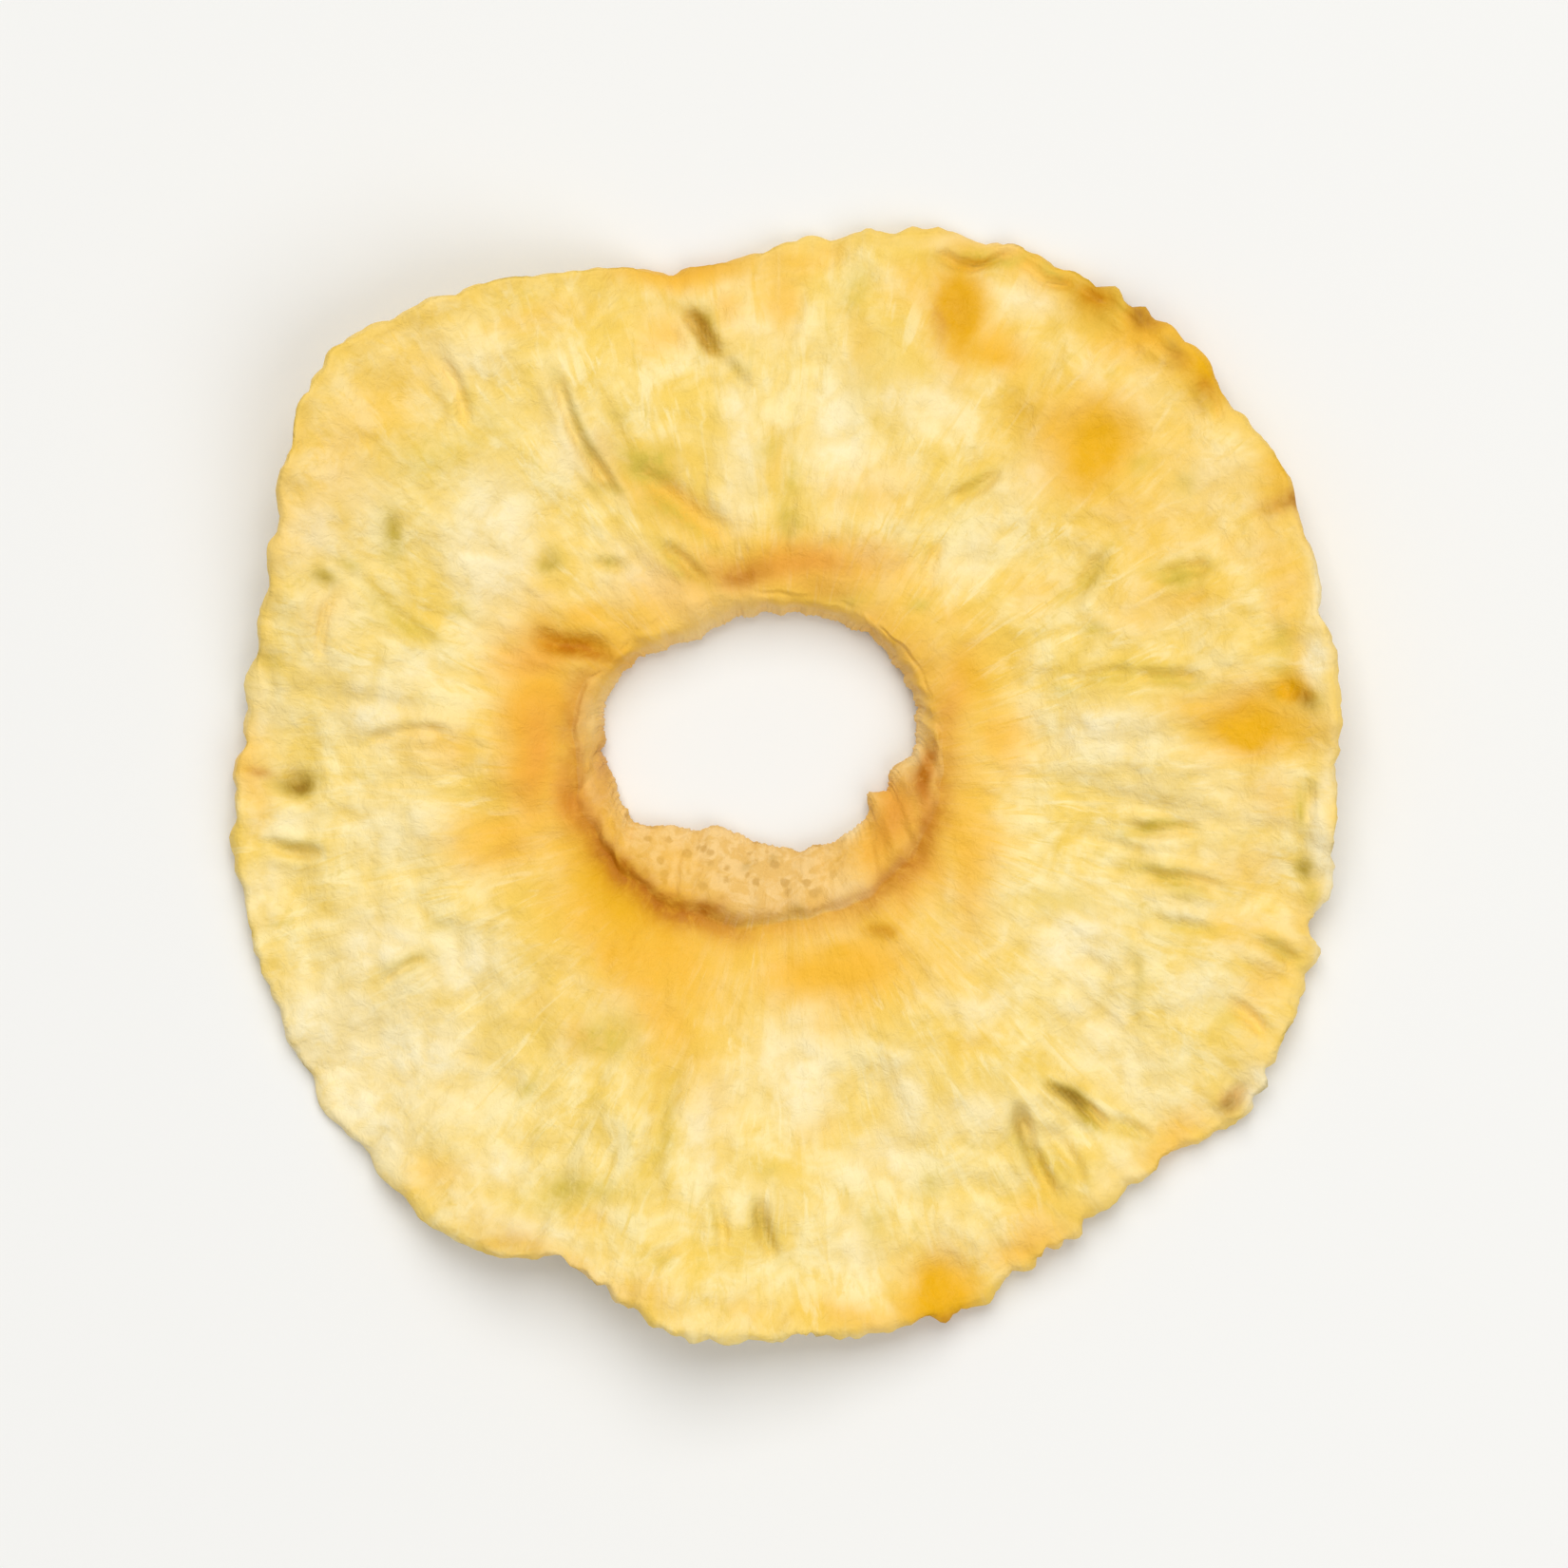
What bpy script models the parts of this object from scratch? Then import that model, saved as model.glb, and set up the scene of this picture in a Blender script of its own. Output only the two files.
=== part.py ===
"""A dried pineapple ring, as one closed solid.

The slice was cut across the fruit and dried on a tray. Its flesh has shrunk to a thin, leathery sheet that
is domed round the hole and lifted at three places on the rim. What is left of the tough core stands round
the hole as a collar, set off from the flesh by a crease. Radial furrows run from the crease to the craggy
rim, where the eyes of the fruit were cut away.

The ring lies on the XY plane, with the top up. Angles are in degrees from +X, counterclockwise from above.
A place in the flesh is an angle and a share: 0 at the crease, 1 at the rim. In the collar the share runs
from 0 at the crease to 1 at the hole's edge.
"""

import math
import random

import bmesh
import bpy
from mathutils import Vector, noise

MM = 0.001

NAME = "pineapple_ring"

# Where the ring's centre lies, which puts the origin under the middle of the whole
RING_CENTRE = Vector((-0.12, -0.32)) * MM

# The rim: a circle, with (angle, half width in degrees, height in mm) of each bulge or flat on it
RIM_RADIUS = 40.3 * MM
RIM_BULGES = (
    (137, 8, 3.7),
    (127, 15, 1.6),
    (58, 15, 3.0),
    (31, 9, 1.8),
    (13, 4, 0.6),
    (99, 9, -2.1),
    (171, 8, -1.1),
    (246, 5, -2.3),
    (262, 25, -0.4),
    (309, 10, -2.1),
    (328, 5, 0.9),
)

# The crease between flesh and core, and the hole, are ovals with centres of their own
CREASE_CENTRE = Vector((-1.6, 2.4)) * MM
CREASE_RADII = Vector((13.5, 12.5)) * MM
HOLE_CENTRE = Vector((-1.6, 4.2)) * MM
HOLE_RADII = Vector((11.8, 8.7)) * MM
HOLE_BULGES = (
    (120, 12, -1.0),
    (55, 18, 0.6),
    (336, 7, -1.3),
    (321, 4, -1.3),
    (290, 8, 0.5),
    (256, 11, -1.2),
    (222, 7, 1.2),
)

# The sheet of flesh: how thick it is at the crease, at its thickest and at the rim
THICK_CREASE = 2.6 * MM
THICK_MIDDLE = 3.5 * MM
THICK_RIM = 1.9 * MM
THICKEST_AT = 0.45
THINNEST = 1.0 * MM
UNEVEN_THICKNESS = 0.5 * MM
UNEVEN_WAVES = 3.5

# The warp: a dome round the hole, and (angle, half width in degrees, height in mm) of each rise on the rim
DOME = 2.3 * MM
RIM_LIFTS = (
    (137, 19, 7.4),
    (18, 22, 5.2),
    (257, 20, 4.6),
    (84, 15, -0.8),
)
LIFT_POWER = 2.0
RUFFLE = 1.3 * MM
RUFFLE_WAVES = 2.9
RUFFLE_POWER = 3.0
TRAY_SINK = 0.3 * MM  # how deep the lowest spots were pressed flat by the tray

# The collar's heights over and under the middle of the sheet
CREASE_DEPTH = 1.7 * MM
CREASE_REACH = 0.1
CREASE_WOBBLE = ((3.0, 0.7 * MM), (8.0, 0.35 * MM))
LIP_RISE = 0.8 * MM
LIP_AT = 0.2
EDGE_UPPER_DROPS = (0.5 * MM, 1.5 * MM)
EDGE_FALL_POWERS = (2.8, 1.3)
EDGE_LOWER_DROP = 2.6 * MM
EDGE_LOWER_AT = 0.96
COLLAR_UNDER_DROP = 2.1 * MM
COLLAR_UNDER_AT = 0.45
COLLAR_CRAGS = ((4.0, 0.3 * MM), (9.0, 0.35 * MM))

# How marked the collar is: at the least, and (angle, half width in degrees, how much more). Where a pair of
# sizes is given for the collar, the first is for where it isn't marked and the second for where it is.
COLLAR_MARK_LEAST = 0.05
COLLAR_MARKS = ((262, 60, 0.8),)

# The relief: crumples of three sizes, radial fibres, gathers in the flesh next to the core, and furrows
CRUMPLED_FROM = 0.2  # the share at which the crumples are full
CRUMPLES = ((13.0 * MM, 0.9 * MM), (6.5 * MM, 0.7 * MM), (3.4 * MM, 0.3 * MM))
FIBRES = ((7.0, 0.22 * MM), (15.0, 0.12 * MM))
FIBRE_STRETCH = 2.2
FIBRES_FULL_AT = 0.15
GATHERS = ((5.0, 0.35 * MM), (9.0, 0.2 * MM))
GATHER_REACH = 0.2
UNDER_RELIEF = 0.7
SEED = 7

# Furrows, unevenly spaced: how many, then the ranges of their first and last share, depth and half width
LONG_FURROWS = (13, (0.1, 0.4), (0.7, 1.1), (0.1 * MM, 0.35 * MM), (0.6 * MM, 1.2 * MM))
SHORT_FURROWS = (52, (0.15, 0.85), (0.15, 0.35), (0.08 * MM, 0.28 * MM), (0.45 * MM, 0.8 * MM))
FURROW_DRIFT = 9.0  # degrees that a furrow strays over a full share
FURROW_FADE = 0.08  # the share over which a furrow's end runs out

# Hollows where an eye of the fruit was: (x, y, radius, depth) in mm from the ring's centre
DIMPLES = (
    (22.5, 25.2, 2.6, 0.9),
    (33.0, 4.7, 2.8, 0.8),
    (12.3, 35.6, 2.4, 0.6),
    (11.8, -35.6, 2.6, 0.6),
    (-34.6, 0.2, 1.4, 0.7),
    (-27.5, 14.5, 3.2, 0.5),
    (18.6, -25.6, 3.0, 0.6),
    (-8.0, 21.0, 2.8, 0.5),
)

# The frayed rim: how rounded its edge is, its lobes with sharp nicks between, and finer crags
RIM_ROUNDING = 0.6 * MM
ROUNDED_FROM = 0.9
LOBES = ((7.0, 1.3 * MM), (15.0, 0.8 * MM))
LOBE_MEAN = 0.3
LOBE_TWIST = 0.3  # how much the lobes change from the rim's upper line to its lower one
CRAG_TWIST = 0.8
CRAGS = ((12.0, 0.6 * MM), (23.0, 0.9 * MM))
FRAY_FROM = 0.8

# How frayed the rim is: at the least, and (angle, half width in degrees, how much more)
FRAY_LEAST = 0.12
FRAYS = ((2, 24, 0.15), (325, 20, 0.4), (285, 22, 0.3), (250, 10, 0.4), (50, 22, 0.25))
FRAY_PATCHES = 4.5
FRAY_PATCH_MEAN = 0.5
FRAY_PATCH_RANGE = 2.0

# Layers of the noise, so that no two features share a pattern
RUFFLE_LAYER = 3
TOP_LAYER = 5
UNDER_LAYER = 8
FRAY_LAYER = 11
CREASE_LAYER = 15
COLLAR_LAYER = 21
WALL_LAYER = 25
THICKNESS_LAYER = 31
GATHER_LAYER = 40
LOBE_LAYER = 51

# The mesh: points round each loop, and where the loops lie
ROUND_RIM = 240
ROUND_HOLE = ROUND_RIM // 2
TOP_SHARES_FINE = (0.06, 0.14, 0.23)
TOP_SHARES = (0.32, 0.41, 0.5, 0.59, 0.68, 0.77, 0.85, 0.92, 0.975)
UNDER_SHARES = (0.96, 0.9, 0.82, 0.7, 0.55)
UNDER_SHARES_FINE = (0.38, 0.2, 0.04)
WALL_SHARES = (0.8, 0.55, 0.32, 0.14)


def unit(deg):
    """The direction at an angle, as a 2-D vector."""
    return Vector((math.cos(math.radians(deg)), math.sin(math.radians(deg))))


def bump(deg, at, half_width):
    """A smooth rise of 1 at an angle, that fades over its half width."""
    away = (deg - at + 180) % 360 - 180
    return math.exp(-0.5 * (away / half_width) ** 2)


def bumps(deg, table):
    """The sum of a table's rises at an angle, in the table's own unit."""
    return sum(height * bump(deg, at, half_width) for at, half_width, height in table)


def smooth(low, high, value):
    """0 below low, 1 above high, and a smooth step between."""
    share = min(1.0, max(0.0, (value - low) / (high - low)))
    return share * share * (3 - 2 * share)


def round_noise(deg, waves, along, layer):
    """Noise that closes on itself round the ring, about 6 times waves to a turn, between about -1 and 1."""
    way = unit(deg) * waves
    return noise.noise(Vector((way.x + layer * 31.7, way.y - layer * 17.3, along)))


def rough(deg, table, along, layer):
    """The sum of a table of (waves, height) noises."""
    return sum(height * round_noise(deg, waves, along, layer + i) for i, (waves, height) in enumerate(table))


def rim_point(deg):
    """The outermost point of the rim, without its crags."""
    return unit(deg) * (RIM_RADIUS + bumps(deg, RIM_BULGES) * MM)


def crease_point(deg):
    way = unit(deg)
    oval = Vector((way.x * CREASE_RADII.x, way.y * CREASE_RADII.y))
    return CREASE_CENTRE + oval + way * rough(deg, CREASE_WOBBLE, 0.0, CREASE_LAYER)


def hole_point(deg):
    way = unit(deg)
    oval = Vector((way.x * HOLE_RADII.x, way.y * HOLE_RADII.y))
    return HOLE_CENTRE + oval + way * bumps(deg, HOLE_BULGES) * MM


def draw_furrows(draw, count, firsts, lasts, depths, half_widths):
    """Furrows as (angle, drift, first share, last share, depth, half width)."""
    made = []
    for i in range(count):
        angle = (i + draw.uniform(-0.4, 0.4)) * 360 / count
        drift = draw.uniform(-FURROW_DRIFT, FURROW_DRIFT)
        first = draw.uniform(*firsts)
        last = draw.uniform(*lasts)
        if last < first:
            last += first
        made.append((angle, drift, first, last, draw.uniform(*depths), draw.uniform(*half_widths)))
    return made


def make_furrows():
    """The long and the short furrows, unevenly spaced by a seeded draw."""
    draw = random.Random(SEED)
    return draw_furrows(draw, *LONG_FURROWS) + draw_furrows(draw, *SHORT_FURROWS)


FURROW_LIST = make_furrows()


def furrow_depth(deg, share, radius):
    """How deep the furrows are here."""
    deep = 0.0
    for angle, drift, first, last, depth, half_width in FURROW_LIST:
        line = angle + drift * (share - first)
        away = math.radians((deg - line + 180) % 360 - 180) * radius
        if abs(away) < 3 * half_width:
            begun = smooth(first - FURROW_FADE, first + FURROW_FADE, share)
            ended = smooth(last - FURROW_FADE, last + FURROW_FADE, share)
            deep += depth * begun * (1 - ended) * math.exp(-((away / half_width) ** 2))
    return deep


def dimple_depth(place):
    """How deep the hollows of the eyes are here."""
    deep = 0.0
    for x, y, radius, depth in DIMPLES:
        away = (place - Vector((x, y)) * MM).length / (radius * MM)
        deep += depth * MM * math.exp(-(away**2))
    return deep


def middle_height(place, deg, share):
    """The height of the middle of the sheet over the tray."""
    dome = DOME * (1 - (place.length / RIM_RADIUS) ** 2)
    lift = bumps(deg, RIM_LIFTS) * MM * share**LIFT_POWER
    ruffle = RUFFLE * round_noise(deg, RUFFLE_WAVES, 0.0, RUFFLE_LAYER) * share**RUFFLE_POWER
    crumple = sum(
        height * noise.noise(Vector((place.x / size, place.y / size, i)))
        for i, (size, height) in enumerate(CRUMPLES)
    )
    return THICK_RIM / 2 - TRAY_SINK + dome + lift + ruffle + crumple * smooth(0, CRUMPLED_FROM, share)


def thickness(deg, share):
    """How thick the sheet is, which varies most along the rim."""
    if share < THICKEST_AT:
        return THICK_CREASE + (THICK_MIDDLE - THICK_CREASE) * smooth(0, THICKEST_AT, share)
    even = THICK_MIDDLE + (THICK_RIM - THICK_MIDDLE) * smooth(THICKEST_AT, 1.05, share)
    uneven = UNEVEN_THICKNESS * round_noise(deg, UNEVEN_WAVES, share, THICKNESS_LAYER)
    return even + uneven * smooth(0.5, 1, share)


def relief(deg, share, radius, layer):
    """The fibres and furrows of one face, as a height over its smooth surface."""
    fibres = smooth(0, FIBRES_FULL_AT, share) * rough(deg, FIBRES, share * FIBRE_STRETCH, layer)
    gathers = math.exp(-share / GATHER_REACH) * rough(deg, GATHERS, share, layer + GATHER_LAYER)
    return fibres + gathers - furrow_depth(deg, share, radius)


def flesh_place(deg, share):
    """Where a place in the flesh lies from above, measured from the ring's centre."""
    return crease_point(deg).lerp(rim_point(deg), share)


def under_height(deg, share):
    place = flesh_place(deg, share)
    height = middle_height(place, deg, share) - thickness(deg, share) / 2
    height -= UNDER_RELIEF * relief(deg, share, place.length, UNDER_LAYER)
    return max(0.0, height)


def collar_mark(deg):
    """How marked the collar and its crease are at an angle, up to 1."""
    return COLLAR_MARK_LEAST + bumps(deg, COLLAR_MARKS)


def top_height(deg, share):
    place = flesh_place(deg, share)
    height = middle_height(place, deg, share) + thickness(deg, share) / 2
    height += relief(deg, share, place.length, TOP_LAYER)
    height -= CREASE_DEPTH * collar_mark(deg) * math.exp(-share / CREASE_REACH) + dimple_depth(place)
    return max(height, under_height(deg, share) + THINNEST)


def on_ring(place, height):
    """A 2-D place, measured from the ring's centre, and a height as a point of the part."""
    return Vector((place.x + RING_CENTRE.x, place.y + RING_CENTRE.y, height))


def lobes(deg, level):
    """How far the rim's rounded lobes stand out, with a nick wherever the noise crosses zero."""
    out = 0.0
    for i, (waves, height) in enumerate(LOBES):
        out += height * (abs(round_noise(deg, waves, level * LOBE_TWIST, LOBE_LAYER + i)) - LOBE_MEAN)
    return out


def fray_amount(deg):
    """How frayed the rim is at an angle, which also changes from patch to patch."""
    patch = abs(round_noise(deg, FRAY_PATCHES, 0.0, FRAY_LAYER + len(CRAGS)))
    return (FRAY_LEAST + bumps(deg, FRAYS)) * (FRAY_PATCH_MEAN + FRAY_PATCH_RANGE * patch)


def crag(deg, share, level):
    """How far the rim is frayed outwards on its upper (0), middle (1) or lower (2) line."""
    out = lobes(deg, level) + fray_amount(deg) * rough(deg, CRAGS, level * CRAG_TWIST, FRAY_LAYER)
    return out * smooth(FRAY_FROM, 1.0, share)


def top_point(deg, share):
    place = flesh_place(deg, share)
    place += unit(deg) * (crag(deg, share, level=0) - RIM_ROUNDING * smooth(ROUNDED_FROM, 1.0, share) / 2)
    return on_ring(place, top_height(deg, share))


def under_point(deg, share):
    place = flesh_place(deg, share)
    place += unit(deg) * (crag(deg, share, level=2) - RIM_ROUNDING * smooth(ROUNDED_FROM, 1.0, share))
    return on_ring(place, under_height(deg, share))


def rim_edge_point(deg):
    """The rim's outermost line, halfway down its edge."""
    place = rim_point(deg) + unit(deg) * crag(deg, 1.0, level=1)
    return on_ring(place, (top_height(deg, 1.0) + under_height(deg, 1.0)) / 2)


def collar_place(deg, share):
    fray = rough(deg, COLLAR_CRAGS, 0.0, COLLAR_LAYER) * smooth(0.5, 1.0, share)
    return crease_point(deg).lerp(hole_point(deg), share) + unit(deg) * fray


def collar_middle(deg):
    return middle_height(crease_point(deg), deg, 0.0)


def between(ends, share):
    """The value at a share of the way from the first to the second of two ends."""
    return ends[0] + (ends[1] - ends[0]) * share


def wall_height(deg, share):
    """The collar's face: level with the flesh or, where marked, raised to a lip, it falls to the hole's edge."""
    mark = collar_mark(deg)
    crease = top_height(deg, 0.0) - collar_middle(deg)
    lip = between((crease, LIP_RISE), mark)
    if share < LIP_AT:
        height = between((crease, lip), smooth(0, LIP_AT, share))
    else:
        past_lip = (share - LIP_AT) / (1 - LIP_AT)
        fall = lip + between(EDGE_UPPER_DROPS, mark)
        height = lip - fall * past_lip ** between(EDGE_FALL_POWERS, mark)
    uneven = rough(deg, COLLAR_CRAGS, share, WALL_LAYER) * smooth(0.05, 0.3, share)
    return collar_middle(deg) + height + uneven


def wall_point(deg, share):
    return on_ring(collar_place(deg, share), wall_height(deg, share))


def edge_upper_point(deg):
    return wall_point(deg, 1.0)


def edge_lower_point(deg):
    place = collar_place(deg, EDGE_LOWER_AT)
    height = min(collar_middle(deg) - EDGE_LOWER_DROP, wall_height(deg, 1.0) - THINNEST / 2)
    return on_ring(place, max(0.0, height))


def collar_under_point(deg):
    height = max(0.0, collar_middle(deg) - COLLAR_UNDER_DROP)
    return on_ring(collar_place(deg, COLLAR_UNDER_AT), height)


def make_loops():
    """The surface's closed loops as (points round, point at an angle), out over the top and back below."""
    loops = [(ROUND_HOLE, lambda deg: top_point(deg, 0.0))]
    for share in TOP_SHARES_FINE:
        loops.append((ROUND_HOLE, lambda deg, share=share: top_point(deg, share)))
    for share in TOP_SHARES:
        loops.append((ROUND_RIM, lambda deg, share=share: top_point(deg, share)))
    loops.append((ROUND_RIM, rim_edge_point))
    for share in UNDER_SHARES:
        loops.append((ROUND_RIM, lambda deg, share=share: under_point(deg, share)))
    for share in UNDER_SHARES_FINE:
        loops.append((ROUND_HOLE, lambda deg, share=share: under_point(deg, share)))
    loops.append((ROUND_HOLE, collar_under_point))
    loops.append((ROUND_HOLE, edge_lower_point))
    loops.append((ROUND_HOLE, edge_upper_point))
    for share in WALL_SHARES:
        loops.append((ROUND_HOLE, lambda deg, share=share: wall_point(deg, share)))
    return loops


def bridge(bm, near, far):
    """Faces between two loops of points, one of which may have twice as many as the other."""
    if len(near) > len(far):
        near, far = far, near
    count, doubled = len(near), len(far) > len(near)
    for i in range(count):
        a, b = near[i], near[(i + 1) % count]
        if doubled:
            p, q, r = far[2 * i], far[2 * i + 1], far[(2 * i + 2) % len(far)]
            bm.faces.new((a, p, q))
            bm.faces.new((a, q, b))
            bm.faces.new((b, q, r))
        else:
            bm.faces.new((a, far[i], far[(i + 1) % count], b))


def ring_mesh():
    bm = bmesh.new()
    rings = []
    for count, point in make_loops():
        rings.append([bm.verts.new(point(360 * i / count)) for i in range(count)])
    for near, far in zip(rings, rings[1:] + rings[:1]):
        bridge(bm, near, far)
    bmesh.ops.triangulate(bm, faces=bm.faces)
    bmesh.ops.recalc_face_normals(bm, faces=bm.faces)
    mesh = bpy.data.meshes.new(NAME)
    bm.to_mesh(mesh)
    bm.free()
    mesh.shade_smooth()
    return mesh


def dried_flesh():
    """Golden yellow, leathery fruit with a dull shine."""
    material = bpy.data.materials.new("dried_flesh")
    material.use_nodes = True
    shader = material.node_tree.nodes["Principled BSDF"]
    shader.inputs["Base Color"].default_value = (0.88, 0.62, 0.19, 1)
    shader.inputs["Roughness"].default_value = 0.6
    shader.inputs["Metallic"].default_value = 0.0
    shader.inputs["Subsurface Weight"].default_value = 0.2
    shader.inputs["Subsurface Radius"].default_value = (0.003, 0.0018, 0.0006)
    return material


def main():
    for thing in list(bpy.data.objects):
        bpy.data.objects.remove(thing)
    ring = bpy.data.objects.new(NAME, ring_mesh())
    ring.data.materials.append(dried_flesh())
    bpy.context.scene.collection.objects.link(ring)


main()
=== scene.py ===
"""The look of one dried pineapple ring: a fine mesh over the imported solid, its material, light and camera.

The ring lies on the XY plane, with the top up. Angles are in degrees from +X, counterclockwise from above.
A place in the flesh is an angle and a share: 0 at the crease, 1 at the rim. In the collar the share runs
from 0 at the crease to 1 at the hole's edge. Places in the tables are in mm from the ring's centre.
"""

import math
import random

import bpy
import numpy as np
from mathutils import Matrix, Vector, noise

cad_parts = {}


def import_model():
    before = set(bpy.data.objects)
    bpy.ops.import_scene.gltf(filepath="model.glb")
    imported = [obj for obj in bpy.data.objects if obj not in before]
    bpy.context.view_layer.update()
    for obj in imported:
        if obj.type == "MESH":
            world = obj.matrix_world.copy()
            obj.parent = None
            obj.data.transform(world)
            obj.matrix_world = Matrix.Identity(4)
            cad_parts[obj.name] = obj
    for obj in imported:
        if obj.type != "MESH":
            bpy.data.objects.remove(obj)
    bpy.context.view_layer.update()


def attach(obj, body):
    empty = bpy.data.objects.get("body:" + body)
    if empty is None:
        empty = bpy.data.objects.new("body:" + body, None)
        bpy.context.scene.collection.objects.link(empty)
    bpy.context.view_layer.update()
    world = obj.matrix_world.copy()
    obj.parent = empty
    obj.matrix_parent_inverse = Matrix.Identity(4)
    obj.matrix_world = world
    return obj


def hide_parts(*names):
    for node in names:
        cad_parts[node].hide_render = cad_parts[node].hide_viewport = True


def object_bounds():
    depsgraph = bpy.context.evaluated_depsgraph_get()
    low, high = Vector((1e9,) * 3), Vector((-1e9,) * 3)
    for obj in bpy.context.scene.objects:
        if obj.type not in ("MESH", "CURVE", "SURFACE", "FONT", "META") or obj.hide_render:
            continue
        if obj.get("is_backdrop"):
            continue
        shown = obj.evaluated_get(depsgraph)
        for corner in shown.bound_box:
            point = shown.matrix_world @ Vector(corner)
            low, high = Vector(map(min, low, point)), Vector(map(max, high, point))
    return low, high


MM = 0.001
NODE = "pineapple_ring"

# The form, with the solid's own sizes. Bulges, lifts, marks and frays go by (angle, half width in degrees,
# height or strength), and crags and fibres by (waves, height).
RING_CENTRE = np.array((-0.12, -0.32)) * MM
RIM_RADIUS = 40.3 * MM
RIM_BULGES = (
    (137, 8, 3.7),
    (127, 15, 1.6),
    (58, 15, 3.0),
    (31, 9, 1.8),
    (13, 4, 0.6),
    (99, 9, -2.1),
    (171, 8, -1.1),
    (246, 5, -2.3),
    (262, 25, -0.4),
    (309, 10, -2.1),
    (328, 5, 0.9),
)
CREASE_CENTRE = np.array((-1.6, 2.4)) * MM
CREASE_RADII = np.array((13.5, 12.5)) * MM
HOLE_CENTRE = np.array((-1.6, 4.2)) * MM
HOLE_RADII = np.array((11.8, 8.7)) * MM
HOLE_BULGES = (
    (120, 12, -1.0),
    (55, 18, 0.6),
    (336, 7, -1.3),
    (321, 4, -1.3),
    (290, 8, 0.5),
    (256, 11, -1.2),
    (222, 7, 1.2),
)
THICK_CREASE = 2.6 * MM
THICK_MIDDLE = 3.5 * MM
THICK_RIM = 1.9 * MM
THICKEST_AT = 0.45
THINNEST = 1.0 * MM
THICK_RIM_AT = 1.05
UNEVEN_THICKNESS = 0.5 * MM
UNEVEN_WAVES = 3.5
UNEVEN_FROM = 0.5
DOME = 2.3 * MM
RIM_LIFTS = (
    (137, 19, 7.4),
    (18, 22, 5.2),
    (257, 20, 4.6),
    (84, 15, -0.8),
)
LIFT_POWER = 2.0
RUFFLE = 1.3 * MM
RUFFLE_WAVES = 2.9
RUFFLE_POWER = 3.0
TRAY_SINK = 0.3 * MM
CREASE_DEPTH = 1.7 * MM
CREASE_REACH = 0.1
CREASE_WOBBLE = ((3.0, 0.7 * MM), (8.0, 0.35 * MM))
LIP_RISE = 0.8 * MM
LIP_AT = 0.2
EDGE_UPPER_DROPS = (0.5 * MM, 1.5 * MM)
EDGE_FALL_POWERS = (2.8, 1.3)
EDGE_LOWER_DROP = 2.6 * MM
EDGE_LOWER_AT = 0.96
COLLAR_UNDER_DROP = 2.1 * MM
COLLAR_UNDER_AT = 0.45
COLLAR_CRAGS = ((4.0, 0.3 * MM), (9.0, 0.35 * MM))
COLLAR_FRAY_FROM = 0.5
COLLAR_UNEVEN = (0.05, 0.3)
COLLAR_MARK_LEAST = 0.05
COLLAR_MARKS = ((262, 60, 0.8),)
CRUMPLED_FROM = 0.2
CRUMPLES = ((13.0 * MM, 0.9 * MM), (6.5 * MM, 0.7 * MM), (3.4 * MM, 0.3 * MM))
FIBRES = ((7.0, 0.22 * MM), (15.0, 0.12 * MM))
FIBRE_STRETCH = 2.2
FIBRES_FULL_AT = 0.15
GATHERS = ((5.0, 0.35 * MM), (9.0, 0.2 * MM))
GATHER_REACH = 0.2
UNDER_RELIEF = 0.7
SEED = 7

# Furrows: how many, then the ranges of their first and last share, depth and half width
LONG_FURROWS = (13, (0.1, 0.4), (0.7, 1.1), (0.1 * MM, 0.35 * MM), (0.6 * MM, 1.2 * MM))
SHORT_FURROWS = (52, (0.15, 0.85), (0.15, 0.35), (0.08 * MM, 0.28 * MM), (0.45 * MM, 0.8 * MM))
FURROW_STRAY = 0.4
FURROW_DRIFT = 9.0
FURROW_FADE = 0.08

# Hollows as (x, y, radius, depth): broad ones where an eye of the fruit was, and small pits
DIMPLES = (
    (22.5, 25.2, 2.6, 0.9),
    (33.0, 4.7, 2.8, 0.8),
    (12.3, 35.6, 2.4, 0.6),
    (11.8, -35.6, 2.6, 0.6),
    (-34.6, 0.2, 1.4, 0.7),
    (-27.5, 14.5, 3.2, 0.5),
    (18.6, -25.6, 3.0, 0.6),
    (-8.0, 21.0, 2.8, 0.5),
)

# The frayed rim
RIM_ROUNDING = 0.6 * MM
ROUNDED_FROM = 0.9
LOBES = ((7.0, 1.3 * MM), (15.0, 0.8 * MM))
LOBE_MEAN = 0.3
LOBE_TWIST = 0.3
CRAGS = ((12.0, 0.6 * MM), (23.0, 0.9 * MM))
CRAG_TWIST = 0.8
FRAY_FROM = 0.8
FRAY_LEAST = 0.12
FRAYS = ((2, 24, 0.15), (325, 20, 0.4), (285, 22, 0.3), (250, 10, 0.4), (50, 22, 0.25))
FRAY_PATCHES = 4.5
FRAY_PATCH_MEAN = 0.5
FRAY_PATCH_RANGE = 2.0

# Layers of the noise, so that no two features share a pattern
RUFFLE_LAYER = 3
TOP_LAYER = 5
UNDER_LAYER = 8
FRAY_LAYER = 11
CREASE_LAYER = 15
FINE_FRAY_LAYER = 16
COLLAR_LAYER = 21
WALL_LAYER = 25
FINE_COLLAR_LAYER = 26
THICKNESS_LAYER = 31
GATHER_LAYER = 40
TINT_LAYER = 40
LOBE_LAYER = 51
LUMP_WARP_LAYER = 60
LUMP_LAYER_STEP = 3.0
RIM_CURL_LAYER = 71
CORE_GRAIN_LAYER = 75
CORE_CELL_LAYER = 7.5
FINE_TOP_LAYER = 80
FINE_UNDER_LAYER = 90
LAYER_APART = (31.7, -17.3)

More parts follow.
